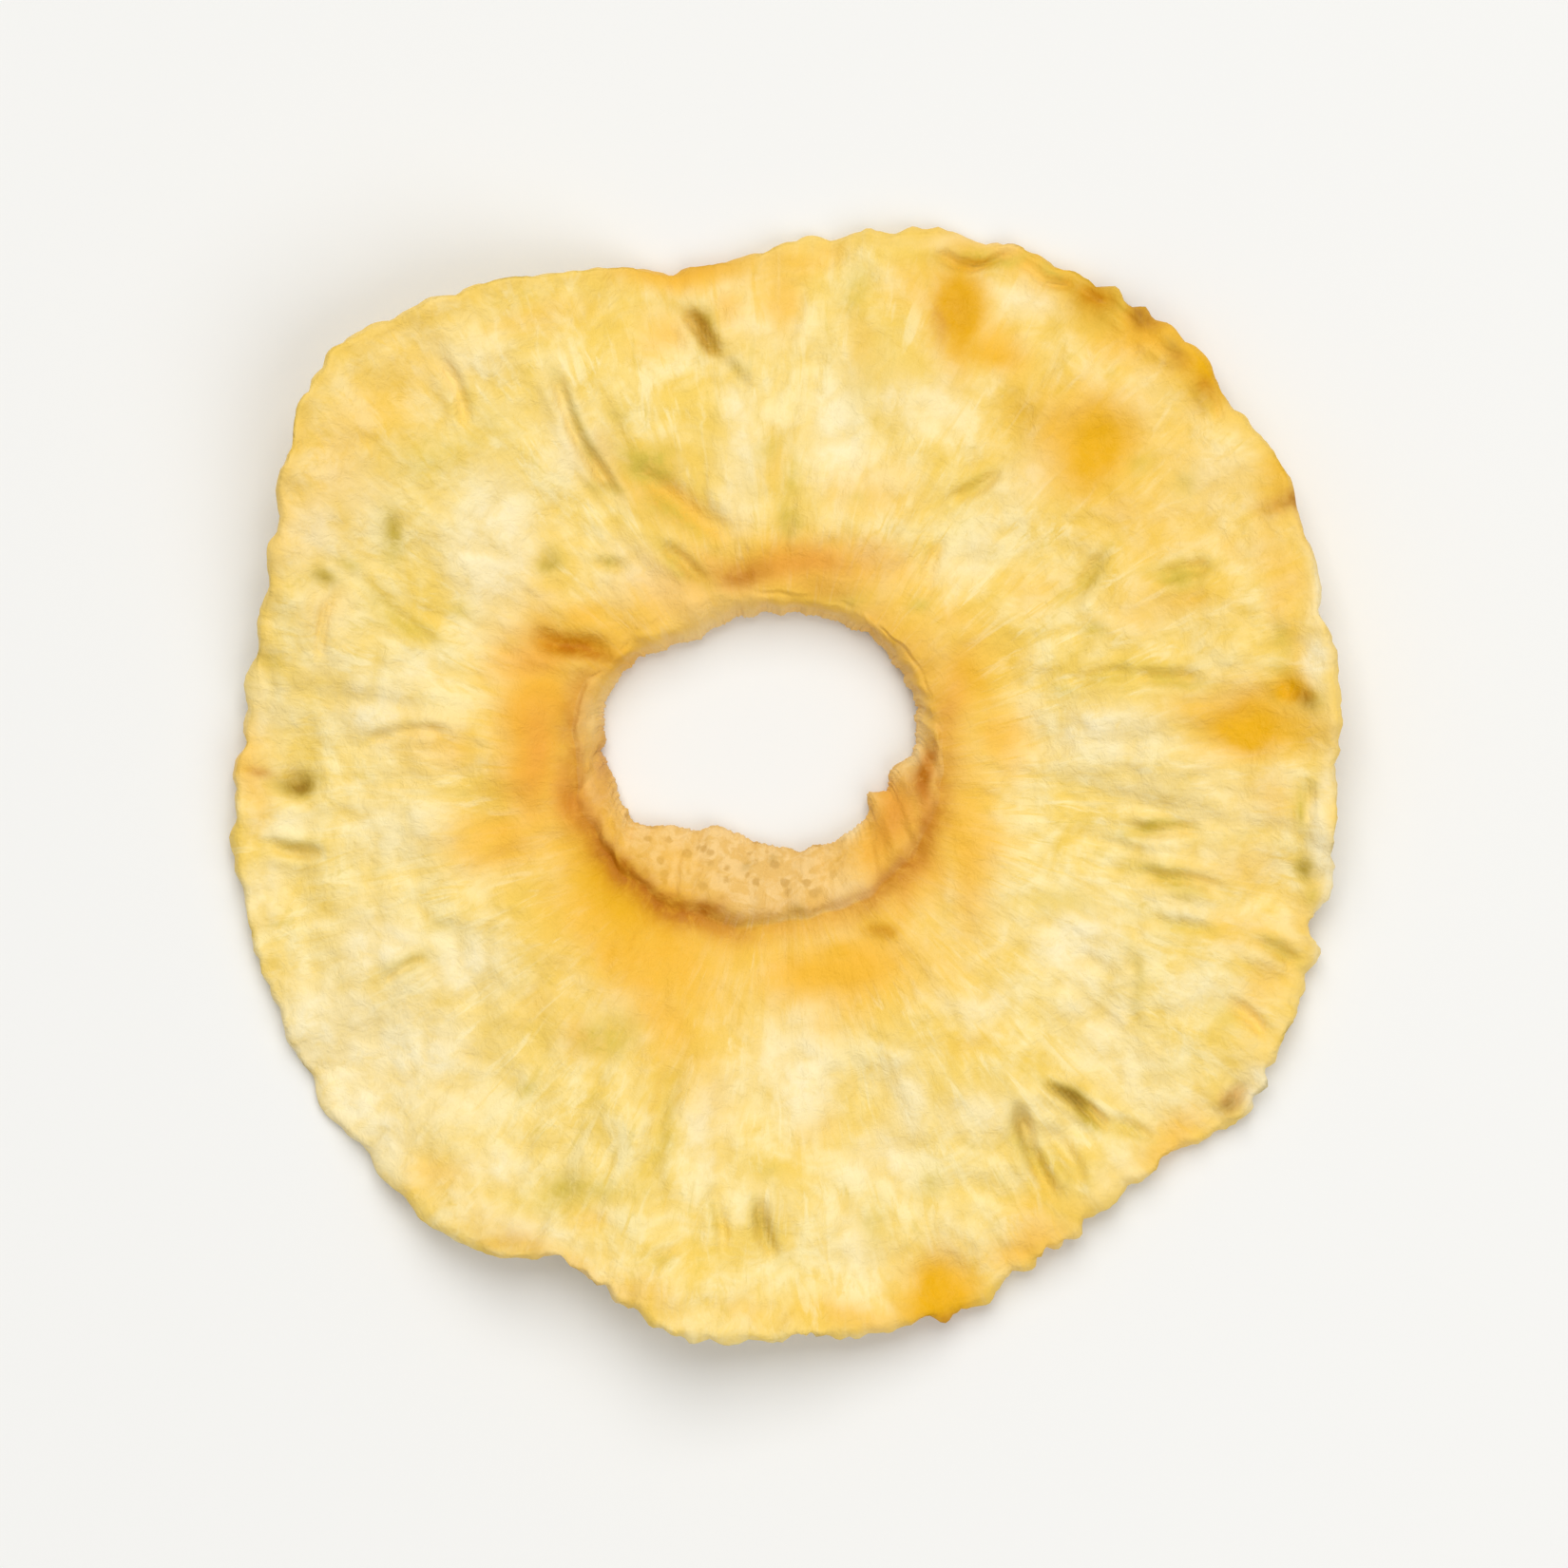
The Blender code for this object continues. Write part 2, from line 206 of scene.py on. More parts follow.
# Finer relief than the solid carries. Lumps go by (size, height), and strands, fraying, curl and grain by
# (waves, height). A pair of shares says where a feature begins and where it is full.
LUMPS = ((4.2 * MM, 0.2 * MM), (2.1 * MM, 0.13 * MM), (1.2 * MM, 0.06 * MM))
LUMP_GAIN = 2.0
LUMP_MEAN = 0.5
LUMP_SHARES = (0.0, 0.12)
LUMP_WARP = 1.3 * MM
LUMP_WARP_SIZE = 5.0 * MM
STRANDS = ((24.0, 0.045 * MM), (52.0, 0.03 * MM))
STRAND_SHARES = (0.1, 0.4)
STRAND_LENGTH = 4.5 * MM
FINE_FRAY = ((38.0, 0.4 * MM), (70.0, 0.35 * MM))
FINE_FRAY_LEAST = 0.15
FINE_FRAY_TWIST = 0.6
FINE_FRAY_FROM = 0.95
COLLAR_FINE_FRAY = 0.3
COLLAR_FINE_FRAY_FROM = 0.75
RIM_CURL = ((16.0, 0.35 * MM), (34.0, 0.2 * MM))
RIM_CURL_FROM = 0.86
CORE_GRAIN = ((12.0, 0.14 * MM), (26.0, 0.08 * MM))
CORE_GRAIN_STRETCH = 2
CORE_GRAIN_SHARES = (0.05, 0.25)
CORE_CELL_SIZE = 1.1 * MM
CORE_CELL_HEIGHT = 0.2 * MM
HOLE_EDGE_BULGE = 0.35 * MM

# Folds: the ridge on each side, in depths and half widths, how they bend, and where they fade out
FOLD_RIDGE = 0.35
FOLD_RIDGE_AT = 2
FOLD_BEND = 0.035
FOLD_BEND_RATE = 5
FOLD_ENDS = (0.3, 0.55)
FOLDS_FULL_AT = 0.05
FOLDS_END = (0.955, 1.0)

# Folds and cracks as (x, y, direction in degrees, length, half width, depth)
FOLDS = (
    (-14.4, 25.4, 115, 10.5, 0.45, 0.65),
    (-23.4, 28.4, 107, 5.5, 0.4, 0.5),
    (-5.8, 32.9, 132, 4.2, 0.5, 1.0),
    (-3.4, 29.8, 125, 3.0, 0.45, 0.4),
    (21.3, -22.8, 142, 6.0, 0.38, 0.9),
    (25.4, -24.6, 160, 3.6, 0.4, 0.5),
    (18.2, -26.2, 117, 8.0, 0.55, 0.75),
    (20.4, -26.6, 126, 6.5, 0.6, 0.45),
    (27.4, -2.9, -3, 5.5, 0.45, 0.65),
    (28.8, -6.6, -14, 6.0, 0.45, 0.65),
    (28.8, -9.8, -16, 5.0, 0.45, 0.35),
    (25.2, -13.0, 93, 8.5, 0.4, 0.3),
    (-35.2, -4.4, -14, 4.5, 0.45, 0.6),
    (-27.5, 12.2, -41, 6.5, 0.5, 0.4),
    (-7.1, 20.6, 150, 8.5, 0.8, 0.5),
    (-7.0, 16.1, -38, 4.6, 0.45, 0.6),
    (-12.2, 16.0, 4, 2.8, 0.35, 0.4),
    (-14.8, 10.2, -12, 7.0, 0.7, 0.6),
    (-14.4, -1.8, 118, 4.6, 0.5, 0.7),
    (-27.2, -13.0, 28, 3.6, 0.35, 0.45),
    (-1.2, -31.8, 108, 4.6, 0.5, 0.7),
    (-4.6, -31.0, 102, 5.0, 0.4, 0.45),
    (-9.0, -24.5, 70, 9.0, 0.8, 0.45),
    (-8.4, -33.4, 16, 2.6, 0.35, 0.4),
    (21.9, 15.2, 50, 4.6, 0.45, 0.5),
    (27.8, 8.0, -8, 5.0, 0.5, 0.5),
    (22.8, 8.1, 6, 5.0, 0.45, 0.4),
    (28.8, 15.6, 8, 4.6, 0.55, 0.6),
    (35.8, -11.8, -25, 4.4, 0.45, 0.6),
    (33.6, -16.4, 135, 4.0, 0.45, 0.5),
    (32.6, -22.4, 60, 2.6, 0.45, 0.7),
    (14.0, 38.5, 3, 6.0, 0.5, 0.8),
    (19.2, 37.4, -25, 4.6, 0.5, 0.7),
    (23.6, 35.4, -30, 5.0, 0.5, 0.8),
    (28.0, 32.2, -45, 5.0, 0.5, 0.7),
    (31.2, 28.6, -52, 3.6, 0.45, 0.6),
    (37.4, 20.6, 8, 2.6, 0.4, 0.8),
    (38.1, -1.0, 90, 3.4, 0.35, 0.5),
    (-33.0, 11.5, 80, 4.5, 0.4, 0.4),
    (14.0, 21.8, 30, 4.0, 0.4, 0.4),
    (10.8, 15.8, 75, 5.0, 0.4, 0.4),
    (3.5, -22.5, 84, 6.0, 0.7, 0.25),
    (-27.0, 4.0, 5, 6.0, 0.4, 0.35),
)
PITS = (
    (-35.0, 0.5, 0.7, 0.8),
    (-16.9, 16.8, 0.7, 0.35),
    (-33.2, 15.0, 0.6, 0.35),
    (36.7, 7.2, 0.9, 0.7),
    (18.9, 33.8, 0.8, 0.4),
    (22.8, 31.2, 0.8, 0.4),
)

# Tints of the flesh as (x, y, radius along, radius across, turn in degrees, strength); PALE also holds
# painted light, and OLIVE, BROWN and DARK painted shade
GOLD = (
    (-17.6, 4.0, 9.0, 3.8, 85, 1.2),
    (-10.0, -11.0, 7.6, 4.6, 142, 1.3),
    (-8.4, -16.4, 5.6, 3.0, 122, 0.85),
    (4.0, -13.0, 7.5, 3.4, 8, 1.1),
    (13.0, -3.5, 7.5, 2.8, 92, 0.95),
    (13.6, 6.5, 5.5, 2.6, 80, 0.85),
    (12.0, 12.0, 2.4, 1.6, 0, 0.6),
    (-7.6, 20.0, 6.5, 1.8, 146, 0.9),
    (-9.2, 23.0, 2.8, 1.8, 0, 0.7),
    (-0.5, 16.4, 7.0, 2.4, -2, 0.9),
    (-13.8, 12.2, 2.4, 1.5, 0, 0.9),
    (-31.0, 25.0, 11.0, 4.0, 52, 0.4),
    (25.0, 23.0, 13.0, 7.5, -50, 0.4),
    (21.8, 25.4, 4.7, 4.3, 90, 0.98),
    (33.4, 5.2, 4.6, 2.6, -6, 1.1),
    (12.7, 34.4, 4.4, 2.2, 92, 1.0),
    (15.8, 31.6, 3.2, 2.1, -40, 0.92),
    (11.6, -36.4, 3.0, 2.8, 90, 1.0),
    (27.0, 14.2, 5.0, 2.6, 20, 0.4),
    (20.0, 37.4, 8.0, 1.8, -24, 0.85),
    (25.5, 33.8, 8.0, 3.0, -38, 1.1),
    (36.0, 14.0, 8.0, 1.6, 100, 0.55),
    (35.0, -13.5, 5.0, 1.8, 75, 0.45),
    (33.5, -6.0, 3.4, 1.8, 0, 0.35),
    (37.0, -9.5, 1.4, 4.0, 0, 0.25),
    (-25.2, -28.0, 2.4, 1.6, -30, 0.4),
    (-14.0, -31.2, 1.6, 1.2, 0, 0.3),
    (5.6, -38.0, 4.6, 1.2, -4, 0.6),
    (-0.2, 35.8, 2.6, 1.5, 90, 0.7),
    (-6.4, 37.2, 5.6, 1.7, -2, 0.95),
    (-6.0, 33.4, 4.2, 2.0, 0, 0.35),
    (5.4, 32.0, 3.0, 1.2, 90, 0.35),
    (15.6, 3.8, 2.2, 3.0, 0, 0.88),
    (-20.6, -3.6, 3.6, 2.2, 0, 0.98),
    (-24.0, 3.1, 3.0, 2.0, 0, 0.58),
    (7.8, -4.0, 5.5, 3.0, 62, 0.9),
    (-12.5, -2.4, 2.6, 1.2, 118, 0.7),
    (-13.6, 1.0, 2.8, 1.4, 95, 0.4),
    (-7.6, -5.2, 3.0, 1.3, -30, 0.45),
    (3.6, -8.2, 2.4, 1.1, 22, 0.35),
    (28.6, -25.2, 3.2, 1.8, 45, 0.65),
    (17.8, -32.2, 3.6, 2.2, 30, 0.78),
    (-10.0, -36.2, 3.6, 1.5, -25, 0.4),
    (-15.6, -34.6, 4.6, 1.0, -27, 0.35),
    (-38.0, 1.0, 1.6, 3.2, 0, 0.7),
    (6.4, 21.4, 3.6, 2.4, 0, 0.42),
    (-0.5, 23.8, 1.6, 2.4, 0, 0.3),
    (18.5, 14.0, 2.6, 2.0, 0, 0.35),
    (35.2, -0.2, 2.6, 2.6, 0, 0.45),
    (9.8, 36.0, 2.6, 1.8, 0, 0.5),
    (1.3, 37.9, 3.0, 1.1, 8, 0.62),
    (33.2, -10.4, 3.0, 1.6, 0, 0.4),
    (-17.5, 33.9, 4.5, 1.2, 12, 0.35),
    (-32.5, 13.0, 1.8, 1.8, 0, 0.3),
    (-8.8, 32.8, 2.4, 1.8, 0, 0.55),
    (-4.0, 34.5, 2.2, 1.5, 0, 0.65),
    (-2.5, -37.6, 2.8, 1.2, 0, 0.25),
    (3.2, -17.0, 2.4, 1.6, 0, 0.4),
    (2.0, -24.5, 1.8, 1.8, 0, 0.22),
    (9.5, -9.5, 2.0, 1.4, 0, 0.5),
    (-20.2, 7.8, 2.4, 2.0, 0, 0.55),
    (32.8, 17.0, 2.2, 2.0, 0, 0.38),
    (-14.0, -17.8, 2.2, 1.6, 0, 0.7),
)
AMBER = (
    (22.3, 24.8, 2.9, 2.0, 78, 1.5),
    (33.2, 4.4, 3.6, 1.5, -6, 1.4),
    (36.6, 6.9, 1.4, 1.1, 20, 1.4),
    (12.6, 34.8, 3.2, 1.6, 88, 1.6),
    (13.9, 31.8, 1.8, 1.0, -50, 0.8),
    (11.6, -36.7, 2.6, 2.2, 80, 1.5),
    (-14.6, 10.4, 3.2, 1.0, -12, 1.1),
    (-12.2, -7.0, 4.4, 2.0, 138, 1.05),
    (7.0, -10.4, 1.6, 0.8, -10, 0.8),
    (4.0, -11.5, 1.0, 0.5, 0, 0.5),
    (14.0, 7.5, 1.7, 0.7, -50, 0.65),
    (35.8, 22.6, 2.6, 1.9, 70, 0.7),
    (37.4, 19.4, 2.0, 0.8, 112, 0.8),
    (29.3, 13.7, 2.0, 0.8, 5, 0.5),
    (17.0, 27.4, 1.9, 1.6, 0, 0.4),
    (15.6, 31.0, 1.6, 1.0, 0, 0.5),
    (24.0, 20.6, 1.6, 1.2, 0, 0.35),
    (30.6, 30.4, 2.4, 1.8, -50, 1.1),
    (22.4, 35.4, 2.2, 1.3, -30, 0.9),
    (26.3, 33.8, 1.4, 1.0, -40, 0.9),
    (13.2, 38.2, 2.2, 0.6, 3, 0.6),
    (13.5, -18.3, 2.2, 1.2, 0, 0.25),
    (-17.5, -15.5, 2.2, 1.3, 0, 0.28),
)
ORANGE = (
    (1.6, 16.0, 5.2, 1.4, 3, 1.0),
    (-17.9, 2.8, 4.6, 1.9, 84, 0.9),
    (-15.4, -0.9, 3.0, 1.6, 112, 0.92),
    (-17.6, 9.4, 2.6, 1.2, 20, 0.6),
    (9.8, -6.4, 2.4, 0.9, 66, 0.55),
    (10.4, -0.8, 2.8, 1.0, 90, 0.8),
    (8.4, -2.0, 2.8, 1.4, 66, 0.9),
    (12.6, 6.4, 3.4, 1.1, 78, 0.5),
)
# Partly the flesh's own pale patches, partly painted light: the thin pale lines and white beads on the right
# rim are painted highlights, and the patch at (-14.6, 5.2) and the strong patches in the lower left are
# painted light over shaded flesh
PALE = (
    (-20.8, 17.2, 2.9, 5.0, 0, 1.3),
    (-26.5, -19.5, 5.6, 5.2, 140, 1.0),
    (-30.6, -21.6, 3.2, 3.4, 0, 1.35),
    (-22.9, -12.4, 3.4, 2.6, 0, 0.95),
    (-27.4, -2.4, 3.8, 3.4, 0, 0.65),
    (-26.0, 8.5, 2.4, 2.0, 0, 0.6),
    (-30.5, 21.2, 2.8, 2.2, 0, 0.8),
    (-36.6, 5.4, 1.7, 2.2, 0, 0.6),
    (-35.4, -2.6, 2.2, 1.3, 0, 0.6),
    (-15.4, 26.2, 4.6, 1.5, 112, 0.9),
    (-13.1, 24.0, 1.6, 2.2, 0, 0.85),
    (-9.2, 15.0, 3.8, 1.6, -27, 1.2),
    (-3.2, 25.0, 5.4, 1.3, 88, 0.95),
    (4.2, 26.1, 5.0, 2.6, 90, 1.0),
    (-1.0, 32.6, 3.2, 1.6, 0, 0.35),
    (10.5, 27.8, 2.6, 2.4, 0, 0.65),
    (18.0, 22.4, 2.8, 1.9, 50, 0.7),
    (14.0, 16.9, 2.8, 1.8, 50, 0.75),
    (23.2, 3.8, 4.4, 2.3, 0, 1.05),
    (25.6, 0.2, 3.4, 1.6, 0, 0.5),
    (21.4, -11.0, 3.6, 3.0, 0, 1.2),
    (23.6, -17.0, 1.8, 2.6, 0, 0.8),
    (14.2, -15.5, 2.8, 1.4, 0, 0.7),
    (8.6, -22.0, 1.6, 3.8, 0, 0.85),
    (7.0, -26.8, 2.8, 2.1, 0, 1.0),
    (1.2, -20.4, 3.6, 3.6, 0, 0.95),
    (-5.0, -24.6, 4.0, 1.6, 76, 0.95),
    (-21.5, -27.2, 2.8, 1.7, 0, 0.8),
    (-18.0, -31.8, 4.2, 1.1, -24, 0.7),
    (5.4, -33.0, 2.2, 3.2, 0, 0.65),
    (11.5, -32.0, 1.6, 2.0, 0, 0.4),
    (24.0, -27.4, 2.6, 1.4, 30, 0.6),
    (25.0, -20.5, 4.2, 2.8, -30, 0.55),
    (30.0, -14.6, 2.8, 1.6, 0, 0.6),
    (28.6, -8.2, 3.4, 0.9, -16, 0.6),
    (17.7, 35.4, 2.1, 1.2, 0, 1.0),
    (15.4, 39.8, 5.0, 0.6, 4, 0.7),
    (38.7, 8.8, 1.1, 1.9, -10, 1.4),
    (34.1, -21.5, 1.0, 1.4, -15, 1.4),
    (38.9, -4.5, 8.0, 0.7, 88, 1.0),
    (38.2, 14.5, 4.0, 0.7, 104, 0.8),
    (30.0, -1.0, 5.0, 5.0, 0, 0.5),
    (30.8, 22.2, 2.6, 2.0, 0, 0.6),
    (6.5, -0.2, 1.0, 0.6, 30, 0.8),
    (4.9, -3.0, 1.0, 0.6, 30, 0.8),
    (-12.6, 4.0, 2.8, 0.5, 75, 0.7),
    (9.4, 3.4, 1.6, 0.5, 80, 0.5),
    (-32.4, -17.6, 4.2, 4.2, 0, 1.5),
    (-29.2, -11.4, 3.2, 3.0, 0, 1.35),
    (-29.2, 5.8, 3.2, 2.8, 0, 1.15),
    (-32.2, 9.4, 2.0, 2.0, 0, 0.45),
    (-33.0, 18.4, 2.4, 2.6, 0, 0.85),
    (-22.4, 30.4, 3.4, 1.8, 20, 0.55),
    (-28.6, -24.6, 3.0, 2.4, 0, 1.0),
    (14.8, -23.4, 3.8, 1.8, 0, 0.7),
    (-1.0, -29.6, 2.4, 1.8, 0, 0.4),
    (6.0, -6.8, 2.2, 1.1, 40, 0.95),
    (-14.6, 5.2, 1.8, 1.0, 90, 0.7),
    (-37.2, -7.5, 1.4, 2.4, 0, 0.55),
    (-1.8, -30.4, 1.8, 1.4, 0, 0.45),
    (8.0, 28.8, 1.8, 2.0, 0, 0.8),
    (-17.2, 13.2, 1.5, 1.2, 0, 0.5),
    (-3.8, 30.2, 1.6, 1.4, 0, 0.6),
    (26.5, 12.5, 1.8, 1.4, 0, 0.5),
    (25.5, 28.0, 2.0, 1.4, 0, 0.5),
    (21.0, -15.5, 2.0, 1.6, 0, 0.65),
)
# Partly olive flecks of the flesh, partly painted shade: the narrow ones laid along the folds of FOLDS,
# along the crest's folds under the top right rim, and in the pits
OLIVE = (
    (-16.8, 16.7, 0.9, 0.6, 20, 0.9),
    (-28.2, 18.2, 0.8, 1.9, 0, 1.1),
    (-33.0, 15.0, 0.9, 0.7, 0, 0.9),
    (-31.0, 16.4, 0.7, 0.6, 0, 0.7),
    (-27.4, 12.2, 3.2, 0.8, -41, 0.8),
    (-23.2, 13.0, 1.0, 0.7, 0, 0.5),
    (-25.0, 24.0, 3.4, 1.6, 20, 0.55),
    (-11.3, 27.0, 1.0, 0.8, 0, 0.45),
    (-12.6, 21.7, 1.3, 0.6, -30, 0.8),
    (-9.6, 23.3, 2.2, 1.5, 0, 1.25),
    (-8.0, 19.7, 3.2, 0.9, -34, 0.85),
    (-14.4, 25.4, 4.8, 0.55, 115, 0.65),
    (-35.0, 0.6, 1.3, 0.9, 10, 1.1),
    (-35.4, -4.4, 2.0, 0.5, -14, 0.5),
    (-7.0, 16.1, 2.8, 0.5, -38, 0.7),
    (-12.2, 16.0, 1.3, 0.5, 0, 0.7),
    (-5.6, 32.9, 2.2, 0.7, 132, 1.3),
    (-3.4, 29.9, 1.6, 0.7, 120, 0.5),
    (5.4, 35.6, 1.8, 1.0, 90, 0.6),
    (5.4, 30.0, 2.6, 1.2, 90, 0.4),
    (1.0, 22.3, 1.7, 0.6, 90, 0.7),
    (0.7, 19.3, 0.6, 1.4, 0, 0.8),
    (-0.8, 24.4, 1.5, 1.0, 0, 0.55),
    (9.7, 13.2, 0.8, 0.5, 0, 0.7),
    (4.8, 13.7, 1.8, 0.7, 0, 0.5),
    (14.2, 21.9, 2.0, 0.6, 30, 0.6),
    (14.2, 38.5, 3.0, 0.5, 3, 1.1),
    (19.5, 37.2, 1.4, 0.7, -25, 0.8),
    (22.6, 35.4, 2.4, 1.5, -30, 1.2),
    (24.5, 34.6, 1.0, 0.7, -30, 1.0),
    (26.4, 34.1, 0.8, 0.6, 0, 0.9),
    (28.3, 31.4, 1.0, 0.7, -45, 0.9),
    (30.6, 28.8, 0.9, 0.6, -50, 0.9),
    (25.5, 23.6, 0.8, 0.8, 0, 0.6),
    (29.5, 22.0, 1.2, 1.0, 0, 0.45),
    (21.9, 15.2, 2.6, 0.7, 50, 0.7),
    (28.6, 15.4, 2.3, 0.8, 5, 1.0),
    (22.6, 11.5, 0.8, 0.5, 0, 0.7),
    (23.4, 8.2, 2.2, 0.6, 5, 0.6),
    (20.2, 7.6, 1.0, 0.6, 0, 0.6),
    (28.2, 8.1, 2.2, 0.6, -10, 0.8),
    (36.0, 9.8, 1.8, 0.8, 80, 0.6),
    (37.5, 6.2, 1.4, 0.7, 0, 1.2),
    (27.2, -2.9, 2.4, 0.5, -2, 1.1),
    (28.0, -6.4, 2.6, 0.6, -14, 0.9),
    (28.8, -9.7, 2.4, 0.6, -16, 0.6),
    (20.0, -8.2, 3.2, 0.7, 0, 0.4),
    (38.1, -1.0, 1.5, 0.45, 90, 0.9),
    (37.9, -5.5, 0.9, 0.5, 90, 1.0),
    (37.9, -7.6, 0.7, 0.4, 90, 0.7),
    (35.5, -11.6, 2.2, 0.5, -25, 0.7),
    (25.2, -13.0, 4.2, 0.5, 93, 0.4),
    (31.5, -16.2, 1.4, 0.8, 0, 0.4),
    (21.4, -22.8, 2.6, 0.5, 142, 1.4),
    (25.4, -24.4, 1.8, 0.5, 165, 0.7),
    (18.2, -26.4, 3.8, 0.8, 117, 0.8),
    (20.4, -27.0, 2.4, 0.8, 126, 0.5),
    (10.5, -28.4, 0.8, 0.8, 0, 0.6),
    (6.8, -31.5, 1.6, 0.9, 90, 0.5),
    (-1.4, -31.8, 2.2, 0.6, 108, 0.7),
    (-4.8, -30.8, 2.6, 0.6, 102, 0.45),
    (-1.0, -27.5, 1.2, 1.0, 0, 0.4),
    (-8.6, -24.2, 4.8, 1.1, 70, 0.5),
    (-8.6, -33.5, 1.3, 0.6, 10, 0.5),
    (-15.4, -29.0, 3.2, 1.3, 8, 0.85),
    (-12.6, -17.8, 2.0, 1.4, 0, 0.85),
    (-18.2, -21.3, 0.9, 0.6, 0, 0.7),
    (-27.0, -13.0, 2.0, 0.7, 28, 0.6),
    (-25.0, -9.8, 1.0, 0.8, 0, 0.3),
    (5.3, 21.2, 0.7, 0.6, 0, 0.4),
    (-20.5, 25.5, 2.2, 1.8, 0, 0.28),
)
# Partly the flesh's own browning round the core, partly painted shade along folds, and painted shadow at the
# rim's edge at (-6.0, 38.0) and (-14.0, -35.2) and in the gap beside the rim's bead at (32.7, -22.4)
BROWN = (
    (-14.6, 10.2, 3.0, 0.9, -12, 1.0),
    (-14.3, -2.2, 2.8, 0.9, 118, 0.8),
    (-11.6, -5.9, 1.8, 0.9, 140, 1.0),
    (-9.2, -7.6, 2.4, 0.6, 150, 0.9),
    (-6.1, -9.1, 1.7, 0.8, 8, 1.0),
    (-2.8, 15.5, 2.5, 1.1, 0, 0.8),
    (-37.2, 1.2, 0.7, 0.4, 0, 0.9),
    (-5.8, 32.9, 2.0, 0.6, 132, 0.55),
    (37.0, 20.5, 2.0, 0.8, 8, 1.0),
    (37.5, 6.3, 0.9, 0.6, 0, 0.7),
    (-6.0, 38.0, 3.6, 0.9, -2, 0.3),
    (-14.0, -35.2, 3.6, 0.8, -27, 0.2),
    (10.3, 1.1, 2.2, 0.8, 90, 1.1),
    (10.2, -2.5, 0.8, 0.4, 0, 0.9),
    (9.4, -6.4, 1.6, 0.6, 70, 0.4),
    (6.9, -10.5, 1.2, 0.5, 0, 0.6),
    (22.4, 35.4, 1.8, 1.0, -30, 0.6),
    (26.3, 33.8, 1.2, 0.8, -40, 1.0),
    (28.3, 31.2, 1.1, 0.8, -45, 0.6),
    (30.7, 29.0, 1.1, 0.8, -50, 0.6),
    (8.4, -2.6, 3.2, 1.6, 62, 0.2),
    (1.5, 15.8, 5.0, 1.3, 0, 0.1),
    (12.7, -38.6, 1.6, 0.7, 0, 0.8),
    (21.0, -22.6, 1.4, 0.4, 142, 0.2),
    (11.0, 34.0, 1.8, 0.4, 90, 0.5),
    (32.7, -22.4, 0.9, 0.5, 60, 0.7),
    (12.4, 34.8, 2.8, 1.5, 88, 0.25),
    (-13.2, 2.0, 2.6, 0.8, 88, 0.6),
    (9.2, -6.8, 2.2, 1.1, 60, 0.22),
    (-20.2, -32.2, 3.4, 1.3, -28, 0.27),
    (3.5, 14.2, 2.2, 0.6, 0, 0.4),
)
# Mostly painted shade in pits and folds, with painted shadow in the gap beside the rim's bead at (32.8,
# -22.6); the three small spots on the collar are the core's own dark spots
DARK = (
    (-35.0, 0.6, 1.0, 0.7, 10, 1.2),
    (-34.6, -5.0, 1.2, 0.4, -14, 0.35),
    (-33.0, 14.9, 0.7, 0.6, 0, 0.4),
    (-28.1, 18.7, 0.6, 0.9, 0, 0.35),
    (-16.8, 16.7, 0.6, 0.5, 0, 0.5),
    (-12.6, 21.9, 0.8, 0.4, -30, 0.35),
    (-5.8, 33.1, 1.6, 0.5, 132, 0.5),
    (0.7, 18.9, 0.5, 0.9, 0, 0.2),
    (26.3, 33.8, 0.9, 0.6, -40, 0.5),
    (37.7, 6.0, 0.8, 0.6, 0, 0.5),
    (37.9, -5.5, 0.8, 0.4, 90, 0.5),
    (37.0, 20.5, 1.3, 0.6, 10, 0.4),
    (32.8, -22.6, 0.9, 0.5, 60, 0.5),
    (20.6, -22.2, 1.4, 0.45, 142, 0.8),
    (17.5, -24.4, 1.8, 0.45, 117, 0.45),
    (-1.2, -32.0, 1.2, 0.45, 108, 0.35),
    (-2.5, -6.0, 0.45, 0.4, 0, 0.4),
    (-0.6, -5.4, 0.4, 0.4, 0, 0.4),
    (1.0, -8.9, 0.7, 0.4, 10, 0.4),
)

TINT_WARP = 1.0 * MM
TINT_WARP_SIZE = 3.2 * MM

# How deep a furrow or a valley is where the painted shade in the grooves is full, and how strong a valley's
# painted shade is
FURROW_FULL_DEPTH = 0.8 * MM
VALLEY_DEPTH = 0.16 * MM
VALLEY_SHADE = 0.8

# How the crease is browned round the core, as (angle, half width in degrees, strength)
CREASE_BROWN = (
    (222, 26, 0.9),
    (250, 20, 0.4),
    (322, 22, 0.75),
    (168, 20, 0.5),
    (10, 40, 0.25),
)
RIM_GOLD_FROM = 0.93
RIM_GOLD_LEAST = 0.1
RIM_GOLD = ((57, 22, 0.8), (100, 16, 0.4), (148, 22, 0.6), (10, 16, 0.5), (335, 22, 0.4), (285, 14, 0.3))
CREASE_BROWN_HALF = 1.15 * MM
CREASE_GOLD_HALF = 4.4 * MM
CREASE_GOLD_LEAST = 0.7

# Where the collar is core: by how marked it is, at the hole's edge, and below
CORE_MARKS = (0.15, 0.5)
HOLE_EDGE_CORE = (0.15, 0.75)
HOLE_EDGE_CORE_FROM = 0.7
COLLAR_UNDER_CORE = (0.1, 0.5)
# Painted light: where the collar isn't marked, the hole's edge is painted paler against the shade of its
# slope, which faces away from the key light
HOLE_EDGE_LIGHT = 0.7
HOLE_EDGE_LIGHT_SHARES = (0.65, 0.95)

